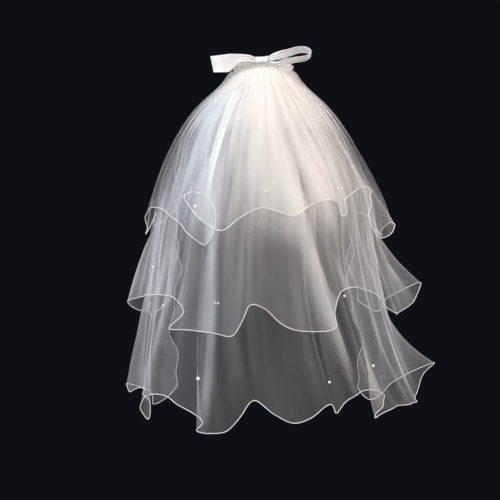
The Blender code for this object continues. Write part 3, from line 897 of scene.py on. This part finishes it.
def tinted(tree, low, high, factor):
    """A colour from low to high by this factor."""
    made = node(tree, "ShaderNodeMix", data_type="RGBA")
    made.inputs["A"].default_value = (*low, 1)
    made.inputs["B"].default_value = (*high, 1)
    tree.links.new(factor, made.inputs["Factor"])
    return made.outputs["Result"]


def surface(tree, tint, **finish):
    """A surface shader with this tint and its own finish."""
    made = node(tree, "ShaderNodeBsdfPrincipled", **finish)
    tree.links.new(tint, made.inputs["Base Color"])
    return made


def bumped(tree, shade, height, strength, distance):
    """The shader with a bump of this height."""
    bump = node(tree, "ShaderNodeBump", Strength=strength, Distance=distance)
    tree.links.new(height, bump.inputs["Height"])
    tree.links.new(bump.outputs["Normal"], shade.inputs["Normal"])


def lit_through(tree, shade, tint, share):
    """The shader with this share of its light coming through from behind."""
    through = node(tree, "ShaderNodeBsdfTranslucent")
    tree.links.new(tint, through.inputs["Color"])
    made = node(tree, "ShaderNodeMixShader", Fac=share)
    tree.links.new(shade.outputs[0], made.inputs[1])
    tree.links.new(through.outputs[0], made.inputs[2])
    return made


def tulle_material(settings):
    """Soft net: fine six-sided holes between pale threads, denser where it is gathered."""
    made, output = new_material("Tulle net")
    tree = made.node_tree
    net = node(
        tree, "ShaderNodeTexVoronoi", feature="DISTANCE_TO_EDGE", Scale=1.0, Randomness=0.35
    )
    holes_a_metre = 1 / settings.mesh_size
    net_place = scaled_place(tree, (holes_a_metre, holes_a_metre, 1))
    tree.links.new(net_place, net.inputs["Vector"])
    thread = between(tree, net.outputs["Distance"], 0.02, 0.34, 1.0, 0.0)
    layers = node(tree, "ShaderNodeAttribute", attribute_name="layers").outputs["Fac"]
    streak = maths(tree, "MULTIPLY_ADD", streaks(tree, (85, 4, 1)), 0.4, streaks(tree, (24, 1.6, 1)))
    swing = between(tree, layers, 1.2, 5.0, settings.streak_calm, settings.streak_gathered)
    streak = maths(tree, "MULTIPLY_ADD", streak, swing, 1.0)
    cloud = noise(tree, scaled_place(tree, (11, 6, 1)), 1.0, 3.0)
    cloud = between(tree, cloud, 0.3, 0.7, 0.82, 1.2)
    cover = maths(tree, "MULTIPLY_ADD", thread, settings.thread_cover, settings.film_cover)
    cover = maths(tree, "MULTIPLY", cover, maths(tree, "MULTIPLY", streak, cloud))
    facing = node(tree, "ShaderNodeLayerWeight", Blend=0.5).outputs["Facing"]
    slope = maths(tree, "SUBTRACT", 1.0, facing)
    slope = maths(tree, "MAXIMUM", slope, settings.least_slope)
    depth = maths(tree, "DIVIDE", layers, slope)
    clear = maths(tree, "POWER", maths(tree, "SUBTRACT", 1.0, cover), depth)
    # Painted warm light: the net's colour turns warm on the right and close under the comb
    warmth = node(tree, "ShaderNodeAttribute", attribute_name="warmth").outputs["Fac"]
    warmth = between(tree, warmth, 0.0, 1.0, 0.0, 1.0)
    tint = tinted(tree, settings.net_colour, settings.painted_warm_light_colour, warmth)
    shade = surface(
        tree,
        tint,
        Roughness=0.62,
        Sheen_Weight=0.3,
        Sheen_Roughness=0.4,
        Specular_IOR_Level=0.35,
    )
    bumped(tree, shade, streak, 0.2, 0.0008)
    body = lit_through(tree, shade, tint, 0.42)
    holes = node(tree, "ShaderNodeBsdfTransparent")
    veil = node(tree, "ShaderNodeMixShader")
    tree.links.new(clear, veil.inputs["Fac"])
    tree.links.new(body.outputs[0], veil.inputs[1])
    tree.links.new(holes.outputs[0], veil.inputs[2])
    tree.links.new(veil.outputs[0], output.inputs["Surface"])
    return made


def cord_material():
    """Thread wrapped tightly over a thin cord."""
    made, output = new_material("Wrapped hem cord")
    tree = made.node_tree
    wrap = node(tree, "ShaderNodeTexWave", Scale=1.0, Distortion=1.2, Detail=1.0)
    tree.links.new(scaled_place(tree, (420, 0.35, 1)), wrap.inputs["Vector"])
    # Painted shade: the grooves between the wraps, where the bump is low, are coloured darker
    tint = tinted(tree, (0.86, 0.87, 0.89), (0.99, 0.99, 0.99), wrap.outputs["Fac"])
    shade = surface(tree, tint, Roughness=0.42, Sheen_Weight=0.3)
    bumped(tree, shade, wrap.outputs["Fac"], 0.6, 0.0003)
    tree.links.new(shade.outputs[0], output.inputs["Surface"])
    return made


def satin_material(settings):
    """White satin ribbon: fine weft ribs, a woven selvedge with a painted highlight, a soft uneven
    gloss.
    """
    made, output = new_material("Satin ribbon")
    tree = made.node_tree
    ribs = noise(tree, scaled_place(tree, (5200, 260, 1)), 1.0, 2.0)
    cloud = noise(tree, scaled_place(tree, (40, 16, 1)), 1.0, 3.0)
    place = node(tree, "ShaderNodeUVMap", uv_map="Cut")
    split = node(tree, "ShaderNodeSeparateXYZ")
    tree.links.new(place.outputs["UV"], split.inputs[0])
    edge = maths(tree, "ABSOLUTE", split.outputs["Y"])
    start = settings.selvedge_and_highlight_from
    # The woven edge is raised by the bump and coloured paler: a painted highlight along both edges
    selvedge_and_highlight = between(tree, edge, start, start + 0.0008, 0.0, 1.0)
    paler = maths(tree, "MAXIMUM", selvedge_and_highlight, between(tree, cloud, 0.35, 0.7, 0.0, 0.6))
    tint = tinted(tree, settings.satin_colour, (0.99, 0.99, 0.98), paler)
    shade = surface(
        tree, tint, Sheen_Weight=0.2, Anisotropic=0.45, Specular_IOR_Level=0.3
    )
    gloss = between(tree, cloud, 0.3, 0.7, 0.3, 0.45)
    tree.links.new(gloss, shade.inputs["Roughness"])
    bumped(tree, shade, maths(tree, "MULTIPLY_ADD", selvedge_and_highlight, 0.8, ribs), 0.35, 0.0003)
    body = lit_through(tree, shade, tint, 0.15)
    tree.links.new(body.outputs[0], output.inputs["Surface"])
    return made


def pearl_material():
    """A small pearl bead with a soft lustre."""
    made, output = new_material("Pearl bead")
    tree = made.node_tree
    place = node(tree, "ShaderNodeTexCoord")
    cloud = noise(tree, place.outputs["Object"], 260.0, 2.0)
    tint = tinted(tree, (0.93, 0.9, 0.86), (0.97, 0.95, 0.95), cloud)
    shade = surface(tree, tint, Roughness=0.2, Coat_Weight=0.6, Coat_Roughness=0.08)
    tree.links.new(shade.outputs[0], output.inputs["Surface"])
    return made


def comb_material():
    """Clear moulded plastic with a faint milky cloud."""
    made, output = new_material("Clear comb plastic")
    tree = made.node_tree
    place = node(tree, "ShaderNodeTexCoord")
    cloud = noise(tree, place.outputs["Object"], 60.0, 3.0)
    tint = tinted(tree, (0.86, 0.88, 0.88), (0.95, 0.96, 0.96), cloud)
    shade = surface(tree, tint, Roughness=0.18, IOR=1.49, Transmission_Weight=0.55)
    bumped(tree, shade, cloud, 0.1, 0.0004)
    tree.links.new(shade.outputs[0], output.inputs["Surface"])
    return made


def heading_material():
    """Tightly gathered net, nearly opaque, with fine upright pleats."""
    made, output = new_material("Gathered heading")
    tree = made.node_tree
    pleat = noise(tree, scaled_place(tree, (900, 30, 1)), 1.0, 3.0, 0.6)
    deep = between(tree, pleat, 0.35, 0.65, 0.0, 1.0)
    # Painted shade: the pleats' hollows, where the bump is low, are coloured a little darker
    tint = tinted(tree, (0.96, 0.95, 0.93), (0.99, 0.98, 0.96), deep)
    shade = surface(tree, tint, Roughness=0.6, Sheen_Weight=0.3)
    bumped(tree, shade, pleat, 0.25, 0.0005)
    body = lit_through(tree, shade, tint, 0.3)
    tree.links.new(body.outputs[0], output.inputs["Surface"])
    return made


# Pieces


made_tiers = {}


def hem_cord(tier, grid, settings):
    """A tier's wrapped cord, thinner up the two front edges."""
    radius = settings.cord_radius / MM
    line = edge_line(grid, radius * CORD_OUT)
    front = settings.levels - 2
    along = np.arange(len(line))
    inside = np.minimum(along - front, len(line) - 1 - front - along)
    full = ease(-CORD_FRONT_OVER, CORD_FRONT_OVER, inside)
    radii = radius * (FRONT_CORD + (1 - FRONT_CORD) * full)
    return tube("hem_cord_" + tier.name, line, radii, CORD_SIDES)


def tiers_and_hems(settings):
    """The three tiers as fine sheets, each with its corded edge."""
    net = tulle_material(settings)
    wrapped = cord_material()
    for tier in rows_of(TIER_COLUMNS, TIERS):
        grid, facts = tier_surface(tier, settings.columns, settings.levels)
        made_tiers[tier.name] = grid
        places = cut_places(grid)
        sheet = cloth("tier_cloth_" + tier.name, grid, places, facts)
        finished(sheet, net, "tulle", "tier_" + tier.name)
        cord = hem_cord(tier, grid, settings)
        finished(cord, wrapped, "cord", "hem_" + tier.name)


def heading_piece():
    """The gathered band over the comb: a rounded roll of net pinched into upright pleats."""
    half_width, depth, middle_y, _, wrap = (float(v) for v in form_at(-TOP_HEIGHT))
    share = np.linspace(0, 1, 561)
    turn = (2 * share - 1) * wrap
    angle = np.radians(turn)
    ends = np.sqrt(np.clip(1 - np.abs(2 * share - 1) ** 18, 0, 1))
    crease, _ = creases_at(turn, share, np.full_like(turn, 14.0), 2)
    folds = folds_at(turn, wrap, -TOP_HEIGHT) + 1.3 * crease
    ring = np.linspace(0, 2 * math.pi, 25)[:-1]
    grid = np.zeros((len(ring), len(share), 3))
    for i, way in enumerate(ring):
        out, high = math.cos(way), math.sin(way)
        wave = np.cos(2 * math.pi * HEADING_PLEATS * share + 2 * math.sin(way))
        pleats = folds + HEADING_PLEAT * wave
        roll = HEADING_HALF_DEPTH * math.copysign(abs(out) ** 0.7, out)
        reach = STEP_AT_COMB + ends * (roll + pleats * max(out, 0.3))
        grid[i, :, 0] = (half_width + reach) * np.sin(angle)
        grid[i, :, 1] = middle_y - (depth + reach) * np.cos(angle)
        lump = 0.6 * np.sin(23 * share) + 0.5 * np.sin(41 * share + 1) if high > 0 else 0
        roll = HEADING_HALF_HEIGHT * math.copysign(abs(high) ** 0.8, high)
        rise = HEADING_MIDDLE + ends * (roll + high * lump)
        grid[i, :, 2] = rise - droop_at(grid[i, :, 0], 0)
    closed = np.concatenate([grid, grid[:1]])
    u, v = np.meshgrid(share * 0.25, np.linspace(0, 0.04, len(closed)))
    band = cloth("heading_gathers", closed, np.stack([u, v], 2), {})
    close_up(band.data)
    return finished(band, heading_material(), "tulle", "heading")


def close_up(mesh):
    """The mesh with its seam joined, its ends closed and its faces turned outwards."""
    bm = bmesh.new()
    bm.from_mesh(mesh)
    bmesh.ops.remove_doubles(bm, verts=bm.verts, dist=1e-5)
    bmesh.ops.holes_fill(bm, edges=[e for e in bm.edges if e.is_boundary])
    bmesh.ops.recalc_face_normals(bm, faces=bm.faces)
    bm.to_mesh(mesh)
    bm.free()


def bead(sides, rings):
    """A round bead one metre in radius, to be sized and copied."""
    bpy.ops.object.select_all(action="DESELECT")
    bpy.ops.mesh.primitive_uv_sphere_add(segments=sides, ring_count=rings, radius=1.0)
    made = bpy.context.object
    made.data.uv_layers[0].name = "Cut"
    return made


def copied(first, name, place):
    """A copy with a mesh of its own, set in this place."""
    mesh = first.data.copy()
    mesh.transform(place)
    mesh.shade_smooth()
    return linked(name, mesh)


def stitches():
    """Two rows of hand stitches round the heading, each a short thread copied from the first."""
    half_width, depth, middle_y, _, wrap = (float(v) for v in form_at(-TOP_HEIGHT))
    wide = half_width + STEP_AT_COMB + STITCH_OUT
    deep = depth + STEP_AT_COMB + STITCH_OUT
    thread = bead(8, 6)
    leant = Matrix.Rotation(STITCH_TILT, 4, "Y")
    sized = Matrix.Diagonal((*(v * MM for v in STITCH_SIZE), 1.0))
    made = []
    for rise in STITCH_ROWS:
        for turn in np.radians(np.linspace(-wrap + 6, wrap - 6, STITCH_COUNT)):
            x = wide * math.sin(turn)
            y = middle_y - deep * math.cos(turn)
            place = Matrix.Translation(Vector((x, y, rise - droop_at(x, 0))) * MM)
            slope = math.atan2(deep * math.sin(turn), wide * math.cos(turn))
            turned = Matrix.Rotation(slope, 4, "Z")
            made.append(copied(thread, "heading_stitches", place @ turned @ leant @ sized))
    bpy.data.objects.remove(thread)
    bpy.ops.object.select_all(action="DESELECT")
    for stitch in made:
        stitch.select_set(True)
    bpy.context.view_layer.objects.active = made[0]
    bpy.ops.object.join()
    made[0].name = "heading_stitches"
    made[0].select_set(False)
    return made[0]


def ribbon_loop(name, rows, lean, satin, slot_node):
    """One loop of the bow: a satin ribbon along its rows, pinched towards the knot."""
    across, y, rise, half, tilt = (column(rows, LOOP_COLUMNS, n) for n in LOOP_COLUMNS)
    nearer = (EYE_DISTANCE + y) / EYE_DISTANCE
    x = EYE_ACROSS + (across - EYE_ACROSS) * nearer
    z = (rise + EYE_DROP) * nearer - EYE_DROP
    steps = np.linalg.norm(np.diff(np.stack([x, y, z], 1), axis=0), axis=1)
    knots = np.concatenate([[0], np.cumsum(np.sqrt(steps))])
    at = np.linspace(0, knots[-1], 161)
    x, y, z, half, tilt = (curve_through(knots, v, at) for v in (x, y, z, half, tilt))
    tilt = np.radians(tilt)
    steps = np.linalg.norm(np.diff(np.stack([x, y, z], 1), axis=0), axis=1)
    length = np.concatenate([[0], np.cumsum(steps)])
    near = np.minimum(length, length[-1] - length)
    pinch = np.exp(-((near / PINCH_REACH) ** 2))
    sides = np.linspace(1, -1, 25)
    grid = np.zeros((len(sides), len(at), 3))
    for i, side in enumerate(sides):
        wave = LOOP_WAVE * np.cos(side * 3 + length / 17)
        pleat = pinch * PINCH_PLEAT * np.cos(side * 9.5) + (1 - pinch) * wave
        grid[i, :, 0] = x + lean * (1 - side) / 2 * (near / near.max()) ** 2
        grid[i, :, 1] = y - side * half * np.sin(tilt) - pleat * np.cos(tilt)
        grid[i, :, 2] = z + side * half * np.cos(tilt) - pleat * np.sin(tilt)
    u, v = np.meshgrid(length * MM, sides * RIBBON_HALF)
    made = cloth(name, grid, np.stack([u, v], 2), {})
    walled(made, WALL)
    finished(made, satin, "satin", slot_node)
    return made


def knot_piece(satin):
    """The knot: ribbon wrapped once over the bow's middle, its soft folds run into the loops."""
    levels = 36
    turn = np.linspace(0, 2 * math.pi, 73)
    front, up = np.cos(turn), np.sin(turn)
    grid = np.zeros((levels + 1, len(turn), 3))
    for i, side in enumerate(np.linspace(-1, 1, levels + 1)):
        waist = 0.9 - 0.12 * math.cos(side * math.pi / 2) ** 2 - 0.2 * abs(side) ** 7
        fold = 0.5 * math.cos(side * 7.5 + 0.6) + 0.3 * math.cos(side * 13 + 1)
        twist = 1.6 * up * (1 - side * side)
        deep = (KNOT_HALF_DEPTH * waist + fold) * np.sign(front) * np.abs(front) ** 0.8
        high = (KNOT_HALF_HEIGHT * waist + 0.5 * fold) * np.sign(up) * np.abs(up) ** 0.85
        grid[i, :, 0] = KNOT_CENTRE[0] + KNOT_HALF_WIDTH * side + twist
        grid[i, :, 1] = KNOT_CENTRE[1] - deep
        grid[i, :, 2] = KNOT_CENTRE[2] + high + 0.8 * side
    u, v = np.meshgrid(turn * 0.007, np.linspace(-0.011, 0.011, levels + 1))
    made = cloth("bow_knot_ribbon", grid, np.stack([u, v], 2), {})
    close_up(made.data)
    return finished(made, satin, "satin", "bow_knot")


def tail_piece(satin):
    """The ribbon's tail, hanging halfway between the top and the middle tier."""
    over, under = (cloth_tree(made_tiers[name][::2, ::2]) for name in ("top", "middle"))
    drops = np.linspace(TAIL_FROM, TAIL_TO, 91)
    sides = np.linspace(-1, 1, 13)
    half_width, _, middle_y, middle_x, _ = form_at(drops)
    turns = math.radians(TAIL_TURN_DEG) + sides * TAIL_HALF_WIDTH / half_width[:, None]
    slant = TAIL_SLANT * sides * ease(TAIL_TO - TAIL_CUT_OVER, TAIL_TO, drops)[:, None]
    heights = -(drops[:, None] + slant)
    away = np.zeros(turns.shape)
    for i, j in np.ndindex(*turns.shape):
        middle = Vector((middle_x[i], middle_y[i], heights[i, j]))
        outward = Vector((math.sin(turns[i, j]), -math.cos(turns[i, j]), 0))
        away[i, j] = (over.ray_cast(middle, outward)[3] + under.ray_cast(middle, outward)[3]) / 2
    smooth = np.ones(7) / 7
    away = np.apply_along_axis(
        lambda v: np.convolve(np.pad(v, 3, "edge"), smooth, "valid"), 0, away
    )
    x = middle_x[:, None] + away * np.sin(turns)
    y = middle_y[:, None] - away * np.cos(turns)
    grid = np.stack([x, y, heights], 2)
    steps = np.linalg.norm(np.diff(grid[:, 6], axis=0), axis=1)
    length = np.concatenate([[0], np.cumsum(steps)])
    v, u = np.meshgrid(sides * RIBBON_HALF, length * MM)
    made = cloth("bow_tail_ribbon", grid, np.stack([u, v], 2), {})
    walled(made, WALL)
    finished(made, satin, "satin", "bow_tail")


def pearls():
    """Small pearls sewn on the net, each copied from the first and sized."""
    trees = [cloth_tree(grid[::2, ::2]) for grid in made_tiers.values()]
    eye = Vector((EYE_ACROSS, -EYE_DISTANCE, -EYE_DROP))
    first = bead(14, 10)
    lustre = pearl_material()
    for number, pearl in enumerate(rows_of(PEARL_COLUMNS, PEARLS), 1):
        aim = (Vector((pearl.across, 0, -pearl.drop)) - eye).normalized()
        hits = [tree.ray_cast(eye, aim) for tree in trees]
        place, normal, _, _ = min((h for h in hits if h[0] is not None), key=lambda h: h[3])
        if normal.dot(aim) > 0:
            normal = -normal
        radius = pearl.diameter / 2
        centre = Matrix.Translation((place + normal * radius * PEARL_SEATED) * MM)
        made = copied(first, f"pearl_{number:02d}", centre @ Matrix.Scale(radius * MM, 4))
        finished(made, lustre, "cord")
    bpy.data.objects.remove(first)


# Add-on


class VeilSettings(bpy.types.PropertyGroup):
    """The sizes and colours of the veil that can be changed."""

    columns: IntProperty(name="Columns", description="Faces along each hem", default=560, min=96)
    levels: IntProperty(name="Levels", description="Faces down each tier", default=84, min=12)
    cord_radius: FloatProperty(
        name="Cord radius",
        description="Radius of the hems' wrapped cord",
        default=0.00066,
        unit="LENGTH",
    )
    mesh_size: FloatProperty(
        name="Mesh size", description="Width of one hole in the net", default=0.0008, unit="LENGTH"
    )
    thread_cover: FloatProperty(
        name="Thread cover",
        description="How much of the light a thread stops",
        default=0.03,
        subtype="FACTOR",
    )
    film_cover: FloatProperty(
        name="Film cover",
        description="What loose fibres stop in the net's holes",
        default=0.038,
        subtype="FACTOR",
    )
    least_slope: FloatProperty(
        name="Least slope",
        description="The smaller, the thicker the net looks where it is seen edge on",
        default=0.38,
        min=0.1,
        subtype="FACTOR",
    )
    streak_calm: FloatProperty(
        name="Calm streaks",
        description="Unevenness of the net where it hangs free",
        default=0.1,
        subtype="FACTOR",
    )
    streak_gathered: FloatProperty(
        name="Gathered streaks",
        description="Unevenness of the gathered net",
        default=0.17,
        subtype="FACTOR",
    )
    net_colour: FloatVectorProperty(
        name="Net colour",
        description="Colour of the net at the left and where it is thin",
        default=(0.89, 0.92, 0.965),
        subtype="COLOR",
    )
    # The painted warm light's colour, laid on the net at the right and close under the comb
    painted_warm_light_colour: FloatVectorProperty(
        name="Warm colour",
        description="Colour of the net at the right and close under the comb",
        default=(0.98, 0.955, 0.925),
        subtype="COLOR",
    )
    satin_colour: FloatVectorProperty(
        name="Satin colour",
        description="Colour of the ribbon",
        default=(0.9, 0.9, 0.91),
        subtype="COLOR",
    )
    # Where the ribbon's raised woven edge and its painted highlight begin
    selvedge_and_highlight_from: FloatProperty(
        name="Selvedge",
        description="How far from the ribbon's middle its woven edge starts",
        default=0.0113,
        unit="LENGTH",
    )


class StageSettings(bpy.types.PropertyGroup):
    """The floor, lights and background."""

    floor_drop: FloatProperty(
        name="Floor drop",
        description="How far the floor lies below the comb",
        default=1.6,
        unit="LENGTH",
    )
    floor_colour: FloatVectorProperty(
        name="Floor colour",
        description="Colour of the floor",
        default=(0.74, 0.74, 0.74),
        subtype="COLOR",
    )
    background: FloatVectorProperty(
        name="Background",
        description="Colour behind the veil",
        default=(0.0048, 0.0052, 0.0078),
        subtype="COLOR",
    )
    key_power: FloatProperty(
        name="Key light", description="Power of the large left light, in watts", default=46.0
    )
    fill_power: FloatProperty(
        name="Fill light", description="Power of the right and top lights, in watts", default=24.0
    )
    front_power: FloatProperty(
        name="Front light", description="Power of the light by the camera, in watts", default=18.0
    )
    rim_power: FloatProperty(
        name="Rim light", description="Power of each light behind, in watts", default=15.0
    )


class VEIL_OT_tiers(bpy.types.Operator):
    """Make the three tulle tiers and their corded hems"""

    bl_idname = "veil.tiers"
    bl_label = "Tiers and hems"

    def execute(self, context):
        tiers_and_hems(context.scene.veil)
        return {"FINISHED"}


class VEIL_OT_heading(bpy.types.Operator):
    """Make the gathered heading with its stitches, and finish the comb"""

    bl_idname = "veil.heading"
    bl_label = "Heading and comb"

    def execute(self, context):
        heading_piece()
        finished(stitches(), cord_material(), "cord")
        comb = bpy.data.objects["comb"]
        comb.data.materials.clear()
        comb.data.materials.append(comb_material())
        return {"FINISHED"}


class VEIL_OT_bow(bpy.types.Operator):
    """Make the ribbon bow's two loops, its knot and its tail"""

    bl_idname = "veil.bow"
    bl_label = "Ribbon bow"

    def execute(self, context):
        satin = satin_material(context.scene.veil)
        ribbon_loop("bow_ribbon_left", LEFT_LOOP, LEFT_LEAN, satin, "bow_loop_left")
        ribbon_loop("bow_ribbon_right", RIGHT_LOOP, 0.0, satin, "bow_loop_right")
        knot_piece(satin)
        tail_piece(satin)
        return {"FINISHED"}


class VEIL_OT_pearls(bpy.types.Operator):
    """Sew the small pearls on the net"""

    bl_idname = "veil.pearls"
    bl_label = "Pearls"

    def execute(self, context):
        pearls()
        return {"FINISHED"}


class VEIL_OT_stage(bpy.types.Operator):
    """Set the floor, the lights, the background and the camera"""

    bl_idname = "veil.stage"
    bl_label = "Stage"

    def execute(self, context):
        stage = context.scene.veil_stage
        floor_piece(stage)
        dark_background(stage)
        for light in rows_of(LIGHT_COLUMNS, LIGHTS):
            soft_light(light, getattr(stage, light.power))
        camera_at_eye()
        context.scene.view_settings.view_transform = "Standard"
        context.scene.cycles.transparent_max_bounces = 40
        return {"FINISHED"}


def floor_piece(stage):
    """A plain pale floor, well below the veil."""
    bpy.ops.object.select_all(action="DESELECT")
    bpy.ops.mesh.primitive_circle_add(
        vertices=96, radius=FLOOR_RADIUS, fill_type="NGON", location=(0, 0, -stage.floor_drop)
    )
    floor = bpy.context.object
    floor.name = "floor"
    bpy.ops.object.transform_apply(location=True, rotation=True, scale=True)
    paint, output = new_material("Floor")
    shade = node(paint.node_tree, "ShaderNodeBsdfPrincipled", Roughness=0.8)
    shade.inputs["Base Color"].default_value = (*stage.floor_colour, 1)
    paint.node_tree.links.new(shade.outputs[0], output.inputs["Surface"])
    floor.data.materials.append(paint)


def dark_background(stage):
    """The plain dark background."""
    world = bpy.data.worlds.new("Dark studio")
    world.use_nodes = True
    world.node_tree.nodes["Background"].inputs["Color"].default_value = (*stage.background, 1)
    bpy.context.scene.world = world


def soft_light(light, power):
    """A square area light aimed at the veil's middle, unseen itself."""
    data = bpy.data.lights.new(light.name, "AREA")
    data.size = light.size
    data.energy = power
    data.color = light.colour
    lamp = bpy.data.objects.new(light.name, data)
    lamp.location = light.place
    aim = Vector(LIGHTS_AIM) - Vector(light.place)
    lamp.rotation_euler = aim.to_track_quat("-Z", "Y").to_euler()
    lamp.visible_camera = False
    bpy.context.scene.collection.objects.link(lamp)


def camera_at_eye():
    """A level camera at the viewing point, as wide as the photograph."""
    data = bpy.data.cameras.new("camera")
    data.lens = SENSOR_WIDTH * EYE_DISTANCE / SEEN_WIDTH
    camera = bpy.data.objects.new("camera", data)
    camera.location = (EYE_ACROSS * MM, -EYE_DISTANCE * MM, -EYE_DROP * MM)
    camera.rotation_euler = (math.radians(90), 0, 0)
    bpy.context.scene.collection.objects.link(camera)
    bpy.context.scene.camera = camera


class VEIL_PT_panel(bpy.types.Panel):
    """The veil's sizes and the buttons that make its pieces"""

    bl_idname = "VEIL_PT_panel"
    bl_label = "Bridal veil"
    bl_space_type = "VIEW_3D"
    bl_region_type = "UI"
    bl_category = "Veil"

    def draw(self, context):
        for group in (context.scene.veil, context.scene.veil_stage):
            for name in group.__annotations__:
                self.layout.prop(group, name)
        for operator in OPERATORS:
            self.layout.operator(operator.bl_idname)


OPERATORS = (VEIL_OT_stage, VEIL_OT_tiers, VEIL_OT_heading, VEIL_OT_bow, VEIL_OT_pearls)
CLASSES = (VeilSettings, StageSettings, *OPERATORS, VEIL_PT_panel)


def register():
    for kind in CLASSES:
        bpy.utils.register_class(kind)
    bpy.types.Scene.veil = PointerProperty(type=VeilSettings)
    bpy.types.Scene.veil_stage = PointerProperty(type=StageSettings)


def unregister():
    del bpy.types.Scene.veil_stage
    del bpy.types.Scene.veil
    for kind in reversed(CLASSES):
        bpy.utils.unregister_class(kind)


def main():
    register()
    bpy.ops.veil.stage()
    bpy.ops.veil.tiers()
    bpy.ops.veil.heading()
    bpy.ops.veil.bow()
    bpy.ops.veil.pearls()


if __name__ == "__main__":
    main()
